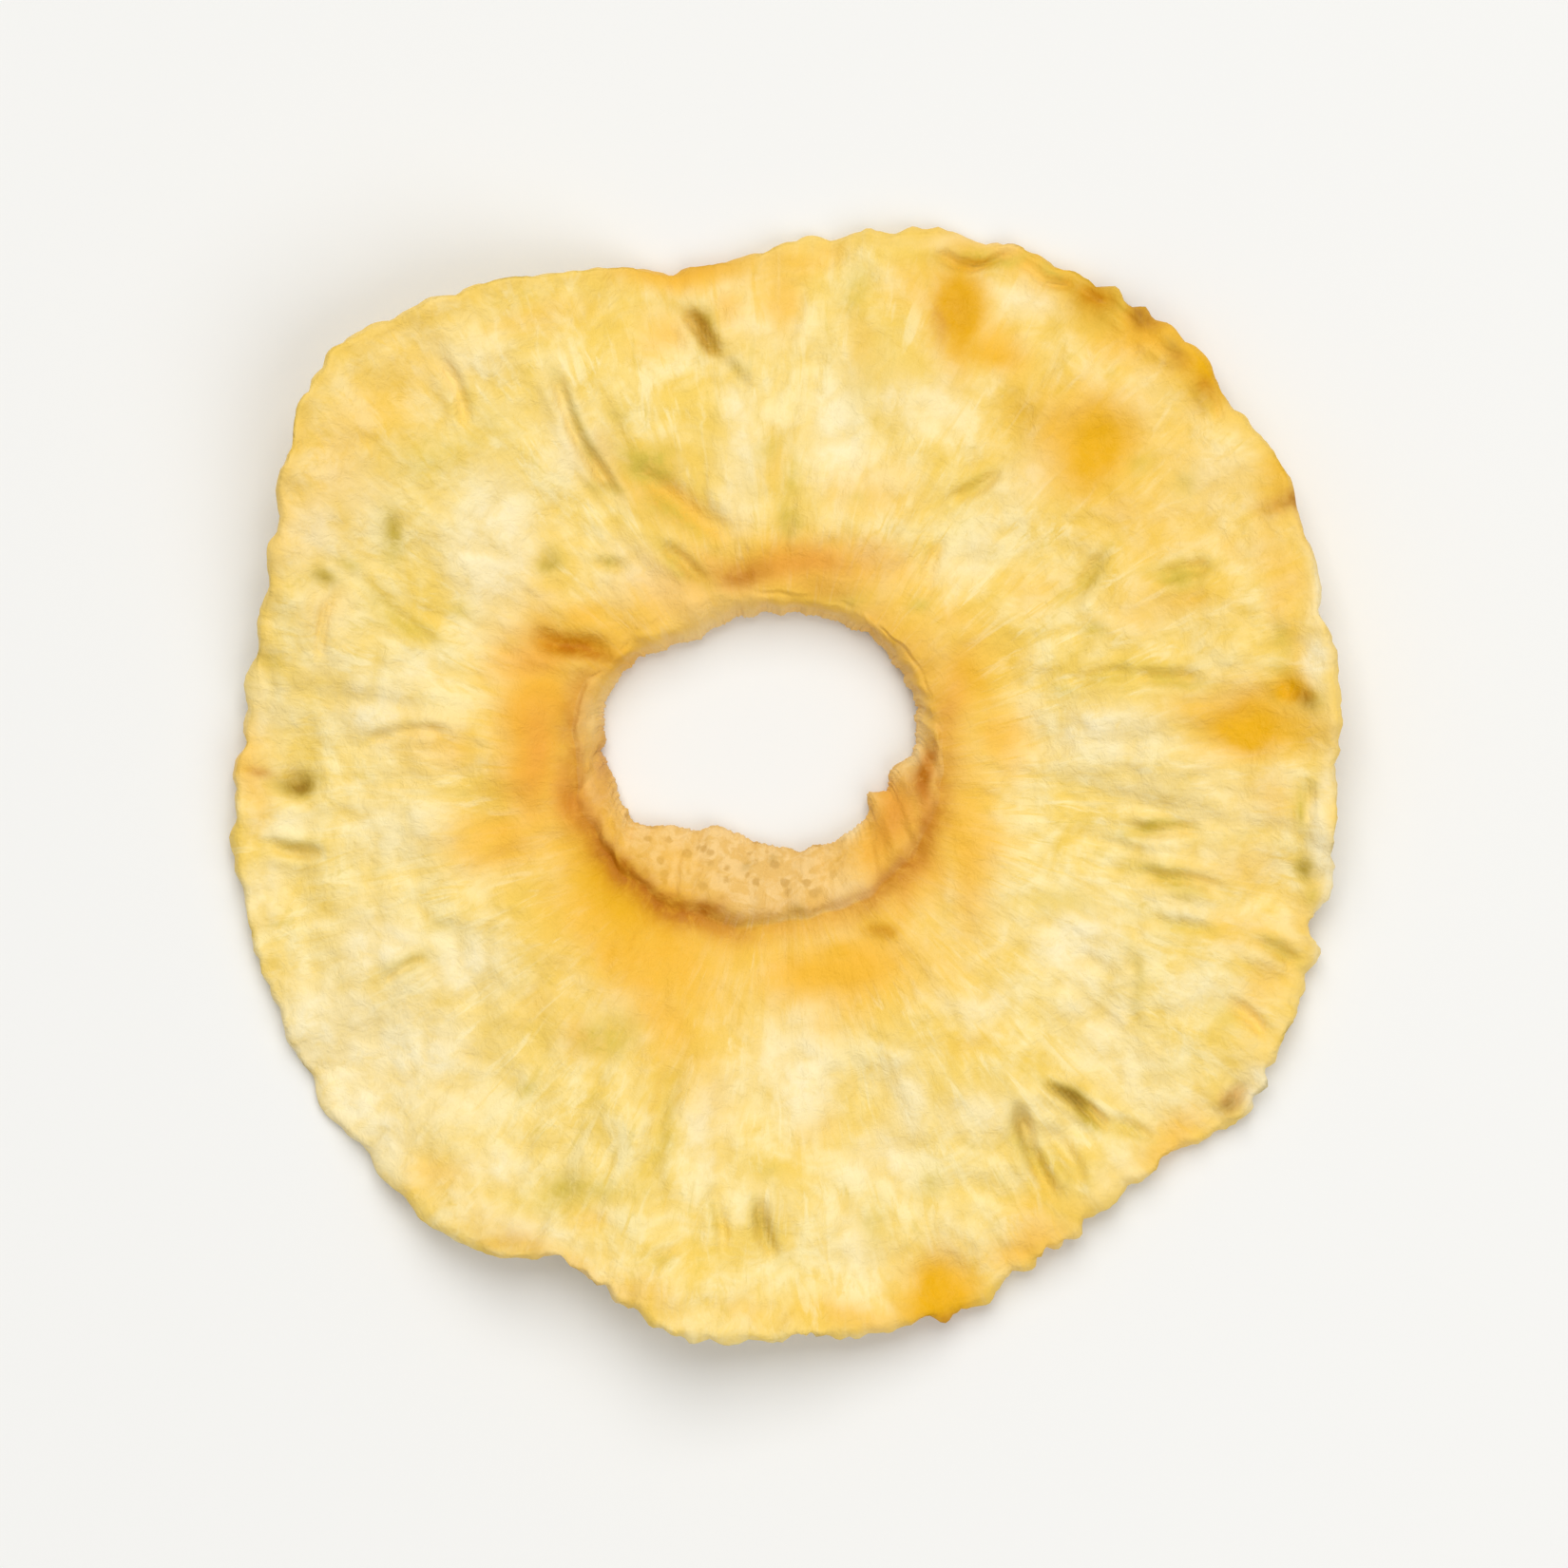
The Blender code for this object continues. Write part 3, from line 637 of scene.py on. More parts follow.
# The mesh: points round each loop, and the number of loops on each stretch of the section
ROUND = 720
TOP_LOOPS = 66
TOP_LOOPS_POWER = 0.95
EDGE_LOOPS = 6
UNDER_LOOPS = 32
UNDER_INNER_SHARE = 0.02
COLLAR_UNDER_LOOPS = 7
HOLE_EDGE_LOOPS = 5
WALL_LOOPS = 21
GRAIN_DOWN = 1.5

# Lights as (name, place, size, power, colour)
LIGHTS = (
    ("key", (-0.1, 1.2, 1.84), 1.8, 34.9, (1.0, 0.99, 0.96)),
    ("fill", (0.5, -0.5, 0.85), 0.9, 4.2, (1.0, 0.99, 0.97)),
)
STUDIO_LIGHT = 0.35

# Camera and floor
FRAME_SHARE = 0.72
LENS = 200.0
SENSOR = 36.0
FLOOR_SIZE = 4.0
FLOOR_DROP = 0.05 * MM
FLOOR_PAINT = (0.86, 0.86, 0.85, 1.0)
FLOOR_ROUGHNESS = 0.9


def way(deg):
    """The direction at each angle, as 2-D places."""
    return np.stack((np.cos(np.radians(deg)), np.sin(np.radians(deg))), -1)


def wrapped(deg):
    return (deg + 180) % 360 - 180


def bumps(deg, table):
    """The sum of a table's smooth rises at each angle."""
    return sum(
        height * np.exp(-0.5 * (wrapped(deg - at) / half_width) ** 2)
        for at, half_width, height in table
    )


def smooth(low, high, value):
    """0 below low, 1 above high, and a smooth step between."""
    share = np.clip((value - low) / (high - low), 0, 1)
    return share * share * (3 - 2 * share)


def noise_at(x, y, z):
    """Noise between about -1 and 1 at each place of three arrays."""
    x, y, z = np.broadcast_arrays(x, y, z)
    places = zip(x.ravel().tolist(), y.ravel().tolist(), z.ravel().tolist())
    return np.array([noise.noise(place) for place in places]).reshape(x.shape)


def round_noise(deg, waves, along, layer):
    """Noise that closes on itself round the ring, about 6 times waves to a turn."""
    at = way(deg) * waves
    return noise_at(at[..., 0] + layer * LAYER_APART[0], at[..., 1] + layer * LAYER_APART[1], along)


def rough(deg, table, along, layer):
    """The sum of a table of (waves, height) noises."""
    return sum(height * round_noise(deg, waves, along, layer + i) for i, (waves, height) in enumerate(table))


def rim_place(deg):
    return way(deg) * (RIM_RADIUS + bumps(deg, RIM_BULGES) * MM)[..., None]


def crease_place(deg):
    wobble = rough(deg, CREASE_WOBBLE, 0.0, CREASE_LAYER)
    return CREASE_CENTRE + way(deg) * (CREASE_RADII + wobble[..., None])


def hole_place(deg):
    bulge = bumps(deg, HOLE_BULGES) * MM
    return HOLE_CENTRE + way(deg) * (HOLE_RADII + bulge[..., None])


def draw_furrows(draw, count, firsts, lasts, depths, half_widths):
    """Furrows as (angle, drift, first share, last share, depth, half width)."""
    made = []
    for i in range(count):
        angle = (i + draw.uniform(-FURROW_STRAY, FURROW_STRAY)) * 360 / count
        drift = draw.uniform(-FURROW_DRIFT, FURROW_DRIFT)
        first = draw.uniform(*firsts)
        last = draw.uniform(*lasts)
        if last < first:
            last += first
        made.append((angle, drift, first, last, draw.uniform(*depths), draw.uniform(*half_widths)))
    return made


def make_furrows():
    """The long and the short furrows, unevenly spaced by a seeded draw."""
    draw = random.Random(SEED)
    return draw_furrows(draw, *LONG_FURROWS) + draw_furrows(draw, *SHORT_FURROWS)


FURROW_LIST = make_furrows()


def furrow_depth(deg, share, radius):
    """How deep the furrows are at each place."""
    deep = np.zeros_like(radius)
    for angle, drift, first, last, depth, half_width in FURROW_LIST:
        line = angle + drift * (share - first)
        away = np.radians(wrapped(deg - line)) * radius
        begun = smooth(first - FURROW_FADE, first + FURROW_FADE, share)
        ended = smooth(last - FURROW_FADE, last + FURROW_FADE, share)
        deep += depth * begun * (1 - ended) * np.exp(-((away / half_width) ** 2))
    return deep


def hollow_depth(place, table):
    """How deep a table of round hollows is at each place."""
    deep = np.zeros(place.shape[:-1])
    for x, y, radius, depth in table:
        away = np.hypot(place[..., 0] - x * MM, place[..., 1] - y * MM) / (radius * MM)
        deep += depth * MM * np.exp(-(away**2))
    return deep


def middle_height(place, deg, share):
    """The height of the middle of the sheet over the tray."""
    radius = np.hypot(place[..., 0], place[..., 1])
    dome = DOME * (1 - (radius / RIM_RADIUS) ** 2)
    lift = bumps(deg, RIM_LIFTS) * MM * share**LIFT_POWER
    ruffle = RUFFLE * round_noise(deg, RUFFLE_WAVES, 0.0, RUFFLE_LAYER) * share**RUFFLE_POWER
    crumple = sum(
        height * noise_at(place[..., 0] / size, place[..., 1] / size, float(i))
        for i, (size, height) in enumerate(CRUMPLES)
    )
    return THICK_RIM / 2 - TRAY_SINK + dome + lift + ruffle + crumple * smooth(0, CRUMPLED_FROM, share)


def thickness(deg, share):
    """How thick the sheet is, which varies most along the rim."""
    inner = THICK_CREASE + (THICK_MIDDLE - THICK_CREASE) * smooth(0, THICKEST_AT, share)
    outer = THICK_MIDDLE + (THICK_RIM - THICK_MIDDLE) * smooth(THICKEST_AT, THICK_RIM_AT, share)
    uneven = UNEVEN_THICKNESS * round_noise(deg, UNEVEN_WAVES, share, THICKNESS_LAYER)
    return np.where(share < THICKEST_AT, inner, outer + uneven * smooth(UNEVEN_FROM, 1, share))


def relief(deg, share, radius, layer):
    """The fibres and furrows of one face, as a height over its smooth surface."""
    fibres = smooth(0, FIBRES_FULL_AT, share) * rough(deg, FIBRES, share * FIBRE_STRETCH, layer)
    gathers = np.exp(-share / GATHER_REACH) * rough(deg, GATHERS, share, layer + GATHER_LAYER)
    return fibres + gathers - furrow_depth(deg, share, radius)


def flesh_place(deg, share):
    """Where a place in the flesh lies from above, measured from the ring's centre."""
    inner = crease_place(deg)
    return inner + (rim_place(deg) - inner) * share[..., None]


def warped(place, amount, size, layer):
    """Places pushed about by noise, so that what is drawn there has uneven borders."""
    push = [noise_at(place[..., 0] / size, place[..., 1] / size, layer + i + 0.5) for i in range(2)]
    return place + amount * np.stack(push, -1)


def lumps(place, layer):
    """Crumpled flesh: rounded lumps with sharp valleys between, as a height."""
    at = warped(place, LUMP_WARP, LUMP_WARP_SIZE, layer + LUMP_WARP_LAYER)
    total = np.zeros(place.shape[:-1])
    for i, (size, height) in enumerate(LUMPS):
        folded = np.abs(noise_at(at[..., 0] / size, at[..., 1] / size, layer + i * LUMP_LAYER_STEP))
        total += height * (folded * LUMP_GAIN - LUMP_MEAN)
    return total


def strands(deg, radius, layer):
    """The fine fibres that run outwards through the flesh, as a height."""
    return rough(deg, STRANDS, radius / STRAND_LENGTH, layer)


def fold_height(place):
    """The named folds, a groove with a ridge on each side, as a height, and how deep in one a place is."""
    total = np.zeros(place.shape[:-1])
    inside = np.zeros(place.shape[:-1])
    for x, y, direction, length, half_width, depth in FOLDS:
        along_x, along_y = math.cos(math.radians(direction)), math.sin(math.radians(direction))
        from_x, from_y = place[..., 0] / MM - x, place[..., 1] / MM - y
        along = from_x * along_x + from_y * along_y
        bend = FOLD_BEND * length * np.sin(along / length * FOLD_BEND_RATE + x)
        across = (from_y * along_x - from_x * along_y + bend) / half_width
        ends = 1 - smooth(*FOLD_ENDS, np.abs(along) / length)
        groove = np.exp(-(across**2)) * ends
        ridge = FOLD_RIDGE * np.exp(-((np.abs(across) - FOLD_RIDGE_AT) ** 2)) * ends
        total += depth * MM * (ridge - groove)
        inside += groove * min(1.0, depth)
    return total, inside


def fine_relief(place, deg, radius, share, layer):
    """What the fine mesh adds to the solid's surface, as a height. It fades out at the crease."""
    crumpled = lumps(place, layer) * smooth(*LUMP_SHARES, share)
    return crumpled + strands(deg, radius, layer) * smooth(*STRAND_SHARES, share)


def lobes(deg, level):
    """How far the rim's rounded lobes stand out, with a nick wherever the noise crosses zero."""
    out = np.zeros_like(deg)
    for i, (waves, height) in enumerate(LOBES):
        out += height * (np.abs(round_noise(deg, waves, level * LOBE_TWIST, LOBE_LAYER + i)) - LOBE_MEAN)
    return out


def fray_amount(deg):
    """How frayed the rim is at each angle, which also changes from patch to patch."""
    patch = np.abs(round_noise(deg, FRAY_PATCHES, 0.0, FRAY_LAYER + len(CRAGS)))
    return (FRAY_LEAST + bumps(deg, FRAYS)) * (FRAY_PATCH_MEAN + FRAY_PATCH_RANGE * patch)


def crag(deg, share, level):
    """How far the rim is frayed outwards on its upper (0), middle (1) or lower (2) line."""
    frayed = fray_amount(deg)
    out = lobes(deg, level) + frayed * rough(deg, CRAGS, level * CRAG_TWIST, FRAY_LAYER)
    fine = (FINE_FRAY_LEAST + frayed) * rough(deg, FINE_FRAY, level * FINE_FRAY_TWIST, FINE_FRAY_LAYER)
    return out * smooth(FRAY_FROM, 1.0, share) + fine * smooth(FINE_FRAY_FROM, 1.0, share)


def rim_curl(deg, share):
    """The crinkles of the thin rim, up and down."""
    return rough(deg, RIM_CURL, share, RIM_CURL_LAYER) * smooth(RIM_CURL_FROM, 1.0, share)


def under_height(deg, share, place):
    radius = np.hypot(place[..., 0], place[..., 1])
    height = middle_height(place, deg, share) - thickness(deg, share) / 2
    height -= UNDER_RELIEF * relief(deg, share, radius, UNDER_LAYER)
    height -= UNDER_RELIEF * fine_relief(place, deg, radius, share, FINE_UNDER_LAYER)
    return np.maximum(0.0, height + rim_curl(deg, share))


def collar_mark(deg):
    """How marked the collar and its crease are at each angle, up to 1."""
    return COLLAR_MARK_LEAST + bumps(deg, COLLAR_MARKS)


def top_height(deg, share, place):
    """The height of the top face, and how deep in a fold or furrow each place is, which sets the shade
    painted there.
    """
    radius = np.hypot(place[..., 0], place[..., 1])
    folds, inside = fold_height(place)
    height = middle_height(place, deg, share) + thickness(deg, share) / 2
    height += relief(deg, share, radius, TOP_LAYER)
    fine = fine_relief(place, deg, radius, share, FINE_TOP_LAYER)
    height += fine + folds * smooth(0.0, FOLDS_FULL_AT, share) * (1 - smooth(*FOLDS_END, share))
    height -= CREASE_DEPTH * collar_mark(deg) * np.exp(-share / CREASE_REACH)
    height -= hollow_depth(place, DIMPLES) + hollow_depth(place, PITS)
    height += rim_curl(deg, share)
    # How much shade is painted here: folds, furrows and the valleys between the lumps
    inside += furrow_depth(deg, share, radius) / FURROW_FULL_DEPTH
    inside += VALLEY_SHADE * smooth(0.0, -VALLEY_DEPTH, fine)
    return np.maximum(height, under_height(deg, share, place) + THINNEST / 2), inside


def collar_place(deg, share):
    fray = rough(deg, COLLAR_CRAGS, 0.0, COLLAR_LAYER) * smooth(COLLAR_FRAY_FROM, 1.0, share)
    fine = COLLAR_FINE_FRAY * rough(deg, FINE_FRAY, 0.0, FINE_COLLAR_LAYER)
    fray += fine * smooth(COLLAR_FINE_FRAY_FROM, 1.0, share)
    inner = crease_place(deg)
    return inner + (hole_place(deg) - inner) * share[..., None] + way(deg) * fray[..., None]


def collar_middle(deg):
    return middle_height(crease_place(deg), deg, np.zeros_like(deg))


def core_grain(deg, place, share):
    """The coarse grain of the dried core, as a height."""
    grain = rough(deg, CORE_GRAIN, share * CORE_GRAIN_STRETCH, CORE_GRAIN_LAYER)
    cells = noise_at(place[..., 0] / CORE_CELL_SIZE, place[..., 1] / CORE_CELL_SIZE, CORE_CELL_LAYER)
    return (grain + CORE_CELL_HEIGHT * np.abs(cells)) * smooth(*CORE_GRAIN_SHARES, share)


def between(ends, share):
    """The value at a share of the way from the first to the second of two ends."""
    return ends[0] + (ends[1] - ends[0]) * share


def wall_height(deg, share, place, crease_top):
    """The collar's face, level with the flesh or raised to a lip where marked, falls to the hole's edge."""
    middle = collar_middle(deg)
    mark = collar_mark(deg)
    crease = crease_top - middle
    lip = between((crease, LIP_RISE), mark)
    rise = between((crease, lip), smooth(0, LIP_AT, share))
    past_lip = np.maximum(0.0, (share - LIP_AT) / (1 - LIP_AT))
    fall = lip - (lip + between(EDGE_UPPER_DROPS, mark)) * past_lip ** between(EDGE_FALL_POWERS, mark)
    uneven = rough(deg, COLLAR_CRAGS, share, WALL_LAYER) * smooth(*COLLAR_UNEVEN, share)
    return middle + np.where(share < LIP_AT, rise, fall) + uneven + core_grain(deg, place, share) * mark


def tint(place, table):
    """How strongly a table of soft oval patches colours each place."""
    strength = np.zeros(place.shape[:-1])
    for x, y, radius_along, radius_across, turn, most in table:
        from_x, from_y = place[..., 0] / MM - x, place[..., 1] / MM - y
        cos, sin = math.cos(math.radians(turn)), math.sin(math.radians(turn))
        along = (from_x * cos + from_y * sin) / radius_along
        across = (from_y * cos - from_x * sin) / radius_across
        strength = np.maximum(strength, most * np.exp(-(along**2) - across**2))
    return strength


def grid(shares):
    """The angle and the share of each point of a stretch of loops."""
    return np.meshgrid(np.arange(ROUND) * 360 / ROUND, shares)


def on_ring(place, height):
    """Places measured from the ring's centre, and their heights, as points of the part."""
    return np.stack((place[..., 0] + RING_CENTRE[0], place[..., 1] + RING_CENTRE[1], height), -1)


def stretch(place, height, **masks):
    """One stretch of the section's loops: its points, their places from the ring's centre, and its masks."""
    spread = {name: np.broadcast_to(mask, height.shape) for name, mask in masks.items()}
    return {"points": on_ring(place, height), "place": place, **spread}


def top_stretch():
    """The top of the flesh, from the crease out to the rim."""
    deg, share = grid(np.linspace(0, 1, TOP_LOOPS) ** TOP_LOOPS_POWER)
    place = flesh_place(deg, share)
    height, inside = top_height(deg, share, place)
    out = crag(deg, share, 0) - RIM_ROUNDING * smooth(ROUNDED_FROM, 1.0, share) / 2
    return stretch(place + way(deg) * out[..., None], height, share=share, deg=deg, groove=inside, core=0.0)


def under_stretch():
    """The underside of the flesh, from the rim back to the crease."""
    deg, share = grid(np.linspace(1, UNDER_INNER_SHARE, UNDER_LOOPS))
    place = flesh_place(deg, share)
    height = under_height(deg, share, place)
    out = crag(deg, share, 2) - RIM_ROUNDING * smooth(ROUNDED_FROM, 1.0, share)
    # The underside's furrows take painted shade
    inside = furrow_depth(deg, share, np.hypot(place[..., 0], place[..., 1])) / FURROW_FULL_DEPTH
    return stretch(place + way(deg) * out[..., None], height, share=share, deg=deg, groove=inside, core=0.0)


def edge_stretch(top, under):
    """The rim's edge, rounded from the last loop of the top to the first loop of the underside."""
    deg, around = grid(np.linspace(0, 1, EDGE_LOOPS + 2)[1:-1])
    place = rim_place(deg) + way(deg) * crag(deg, np.ones_like(deg), 1)[..., None]
    bulge = np.sin(np.pi * around)[..., None]
    first, last = top["points"][-1], under["points"][0]
    straight = first + (last - first) * around[..., None]
    points = straight + (on_ring(place, straight[..., 2]) - straight) * bulge
    return stretch(points[..., :2] - RING_CENTRE, points[..., 2], share=1.0, deg=deg, groove=0.0, core=0.0)


def wall_stretch(top):
    """The collar's face, from the hole's edge back to the crease."""
    deg, share = grid(np.linspace(1, 1 / WALL_LOOPS, WALL_LOOPS))
    place = collar_place(deg, share)
    height = wall_height(deg, share, place, top["points"][0][..., 2])
    marked = marked_core(deg)
    edge_core = between(HOLE_EDGE_CORE, marked) * smooth(HOLE_EDGE_CORE_FROM, 1.0, share)
    core = np.maximum(marked * smooth(0.0, LIP_AT, share), edge_core)
    return stretch(place, height, share=-share, deg=deg, groove=0.0, core=core)


def hole_edge_stretch(wall):
    """The hole's edge, rounded down from the collar's face to its underside."""
    deg, around = grid(np.linspace(1, 0, HOLE_EDGE_LOOPS + 1)[:-1])
    share = 1 - (1 - EDGE_LOWER_AT) * around
    place = collar_place(deg, share)
    upper = wall["points"][0][..., 2]
    lower = np.minimum(collar_middle(deg[0]) - EDGE_LOWER_DROP, upper - THINNEST / 2)
    height = upper + (np.maximum(0.0, lower) - upper) * around
    inwards = HOLE_EDGE_BULGE * np.sin(np.pi * around)
    return stretch(place - way(deg) * inwards[..., None], height, share=-1.0, deg=deg, groove=0.0, core=1.0)


def collar_under_stretch(under, hole_edge):
    """The underside of the collar, from the crease's underside in to the hole's edge."""
    deg, around = grid(np.linspace(0, 1, COLLAR_UNDER_LOOPS + 2)[1:-1])
    share = around * EDGE_LOWER_AT
    place = collar_place(deg, share)
    first, last = under["points"][-1][..., 2], hole_edge["points"][0][..., 2]
    halfway = np.maximum(0.0, collar_middle(deg[0]) - COLLAR_UNDER_DROP)
    turn = COLLAR_UNDER_AT / EDGE_LOWER_AT
    height = np.where(
        around < turn,
        first + (halfway - first) * smooth(0, turn, around),
        halfway + (last - halfway) * smooth(turn, 1, around),
    )
    height = np.maximum(0.0, height + core_grain(deg, place, share) * np.sin(np.pi * around))
    return stretch(place, height, share=-share, deg=deg, groove=0.0, core=smooth(*COLLAR_UNDER_CORE, share))


def all_stretches():
    """The stretches in order: out over the top, round the rim, back below and up through the hole."""
    top = top_stretch()
    under = under_stretch()
    wall = wall_stretch(top)
    hole_edge = hole_edge_stretch(wall)
    return [top, edge_stretch(top, under), under, collar_under_stretch(under, hole_edge), hole_edge, wall]


def joined(stretches, name):
    return np.concatenate([s[name] for s in stretches])


def add_mask(mesh, name, values):
    """Stores a number between 0 and 1 on each vertex."""
    layer = mesh.attributes.new(name, "FLOAT", "POINT")
    layer.data.foreach_set("value", np.clip(values, 0, 1).ravel().astype(np.float32))


def add_grain(mesh, place, height):
    """Stores the place used by textures that run outwards: the direction, and the way out in mm."""
    radius = np.hypot(place[..., 0], place[..., 1])
    out = (radius + GRAIN_DOWN * height) / MM
    direction = place / radius[..., None]
    values = np.stack((direction[..., 0], direction[..., 1], out), -1)
    layer = mesh.attributes.new("grain", "FLOAT_VECTOR", "POINT")
    layer.data.foreach_set("vector", values.ravel().astype(np.float32))


def marked_core(deg):
    """How plainly the collar is core and not flesh at each angle."""
    return smooth(*CORE_MARKS, collar_mark(deg))


def crease_browning(deg, share, place):
    """The browned line along the crease, and the golden zone beside it."""
    from_crease = np.linalg.norm(place - crease_place(deg), axis=-1)
    around = np.clip(bumps(deg, CREASE_BROWN), 0, 1)
    line = np.exp(-((from_crease / CREASE_BROWN_HALF) ** 2)) * around
    zone = np.exp(-((from_crease / CREASE_GOLD_HALF) ** 2)) * between((CREASE_GOLD_LEAST, 1), around)
    return line, np.where(share >= 0, zone, zone * (1 - marked_core(deg)))


def hole_edge_painted_light(deg, share):
    """Painted light: the hole's edge is painted paler where the collar isn't marked, against the shade of
    its slope, which faces away from the key light.
    """
    return HOLE_EDGE_LIGHT * smooth(*HOLE_EDGE_LIGHT_SHARES, -share) * (1 - marked_core(deg))


def add_masks(mesh, stretches):
    """Where the flesh has each tint, painted light and painted shade, and where core, rim and the grooves
    that take painted shade are.
    """
    place, deg, share = (joined(stretches, name) for name in ("place", "deg", "share"))
    height = joined(stretches, "points")[..., 2]
    at = warped(place, TINT_WARP, TINT_WARP_SIZE, TINT_LAYER)
    line, zone = crease_browning(deg, share, place)
    add_grain(mesh, place, height)
    add_mask(mesh, "gold", np.maximum(tint(at, GOLD), zone))
    add_mask(mesh, "amber", tint(at, AMBER))
    add_mask(mesh, "orange", tint(at, ORANGE))
    # The pale mask also holds painted highlights and the painted light at the hole's edge
    add_mask(mesh, "pale", np.maximum(tint(at, PALE), hole_edge_painted_light(deg, share)))
    # The olive mask also holds painted shade along folds and in pits
    add_mask(mesh, "olive", tint(at, OLIVE))
    # The brown mask also holds painted shade along folds and painted shadow at the rim
    add_mask(mesh, "brown", np.maximum(tint(at, BROWN), line))
    # The dark mask is mostly painted shade in pits and folds
    add_mask(mesh, "dark", tint(at, DARK))
    add_mask(mesh, "core", joined(stretches, "core"))
    golden_rim = np.clip(RIM_GOLD_LEAST + bumps(deg, RIM_GOLD), 0, 1)
    add_mask(mesh, "rim", smooth(RIM_GOLD_FROM, 1.0, share) * golden_rim)
    # The groove mask is where shade is painted into folds, furrows and valleys
    add_mask(mesh, "groove", joined(stretches, "groove"))


def ring_mesh():
    stretches = all_stretches()
    points = joined(stretches, "points")
    loops = len(points)
    index = np.arange(loops * ROUND).reshape(loops, ROUND)
    onward = np.roll(index, -1, axis=0)
    quads = np.stack((index, np.roll(index, -1, axis=1), np.roll(onward, -1, axis=1), onward), -1)
    mesh = bpy.data.meshes.new("dried_ring")
    mesh.from_pydata(points.reshape(-1, 3).tolist(), [], quads.reshape(-1, 4)[:, ::-1].tolist())
    mesh.shade_smooth()
    add_masks(mesh, stretches)
    return mesh


def paint(red, green, blue):
    """A colour from its values on a screen, 0 to 255, as Blender's linear light."""
    linear = [((c / 255 + 0.055) / 1.055) ** 2.4 if c > 10 else c / 255 / 12.92 for c in (red, green, blue)]
    return (*linear, 1.0)


# Colours of the flesh, and those laid as painted light and painted shade
FLESH = paint(246, 218, 134)
FLESH_LIGHT = paint(250, 231, 167)
FLESH_DEEP = paint(241, 206, 98)
# Pale flesh, also the paint of painted highlights and of painted light at the hole's edge
PALE_FLESH_AND_PAINTED_LIGHT = paint(251, 236, 190)
GOLDEN = paint(242, 184, 52)
AMBER_FLESH = paint(232, 174, 4)
ORANGE_FLESH = paint(235, 163, 58)
# Olive flecks, also painted shade along folds and in pits
OLIVE_FLESH_AND_SHADE = paint(212, 186, 74)
# Painted shade: the warm yellow laid in grooves, furrows and valleys in place of grey shade
GROOVE_SHADE = paint(232, 196, 84)
# Browning of the flesh, also painted shade along folds and painted shadow at the rim
BROWN_FLESH_AND_SHADE = paint(186, 112, 6)
# Mostly painted shade in pits and folds, also the collar's dark spots
DARK_SHADE_AND_SPOTS = paint(160, 126, 40)
CORE_FLESH = paint(230, 186, 106)
CORE_LIGHT = paint(240, 202, 134)
CORE_DOTS = paint(204, 160, 84)
RIM_FLESH = paint(243, 205, 100)


class Nodes:
    """Adds nodes to a material, each call giving back an output to link on."""

    def __init__(self, material):
        self.tree = material.node_tree

    def add(self, kind, links=(), **settings):
        node = self.tree.nodes.new(kind)
        for name, value in settings.items():
            setattr(node, name, value)
        for socket, value in dict(links).items():
            if isinstance(value, bpy.types.NodeSocket):
                self.tree.links.new(value, node.inputs[socket])
            else:
                node.inputs[socket].default_value = value
        return node

    def mask(self, name):
        return self.add("ShaderNodeAttribute", attribute_name=name).outputs["Fac"]

    def vector(self, name):
        return self.add("ShaderNodeAttribute", attribute_name=name).outputs["Vector"]

    def scaled(self, vector, scale):
        return self.add("ShaderNodeVectorMath", {0: vector, 1: scale}, operation="MULTIPLY").outputs[0]

    def noise(self, vector, scale, detail, rough, distortion):
        links = {"Vector": vector, "Scale": scale, "Detail": detail}
        links.update({"Roughness": rough, "Distortion": distortion})
        return self.add("ShaderNodeTexNoise", links).outputs["Fac"]

    def step(self, value, low, high, least=0.0, most=1.0):
        links = {"Value": value, "From Min": low, "From Max": high, "To Min": least, "To Max": most}
        return self.add("ShaderNodeMapRange", links, interpolation_type="SMOOTHSTEP").outputs["Result"]

    def math(self, operation, a, b):
        return self.add("ShaderNodeMath", {0: a, 1: b}, operation=operation).outputs[0]

    def mix(self, share, a, b):
        node = self.add("ShaderNodeMix", {0: share, 6: a, 7: b}, data_type="RGBA")
        return node.outputs[2]


# Noise in the material as (scale, detail, roughness, distortion). Those that run outwards follow the mesh's
# grain, which is first stretched by the three numbers beside them.
MOTTLE = (190.0, 4.0, 0.62, 0.5)
FINE = (900.0, 3.0, 0.6, 0.6)
FIBRE_GRAIN, FIBRE_TINTS = (27.0, 27.0, 0.24), (1.0, 4.0, 0.6, 0.7)
FLECK_GRAIN, FLECK_TINTS = (34.0, 34.0, 0.4), (1.0, 3.0, 0.6, 0.8)
STRAND_GRAIN, STRAND_BUMPS = (60.0, 60.0, 0.6), (1.0, 3.0, 0.6, 0.4)
CRINKLES = (1000.0, 4.0, 0.62, 0.5)
GLOSS_PATCHES = (420.0, 3.0, 0.6, 0.0)
CORE_CELLS = 820.0

# How noise turns into paint, as the two values between which it changes and, where given, the least and most
MOTTLE_FLESH = (0.36, 0.52)
MOTTLE_LIGHT = (0.48, 0.64)
FIBRE_LIGHT = (0.51, 0.68, 0.0, 0.8)
FIBRE_DEEP = (0.48, 0.32, 0.0, 0.65)
FLECK_STEP = (0.57, 0.74, 0.0, 0.36)
CORE_STEP = (0.4, 0.62)
CORE_UNEVEN = 0.5
DOT_STEP = (0.62, 0.44, 0.0, 0.75)

# Tints in the order that they are laid, as (mask, paint, least strength where noise thins them): pale, with
# its painted light, and the grooves' painted shade first, then those thinned by the mottle, then those
# thinned by fine noise.
PALE_LEAST = 0.65
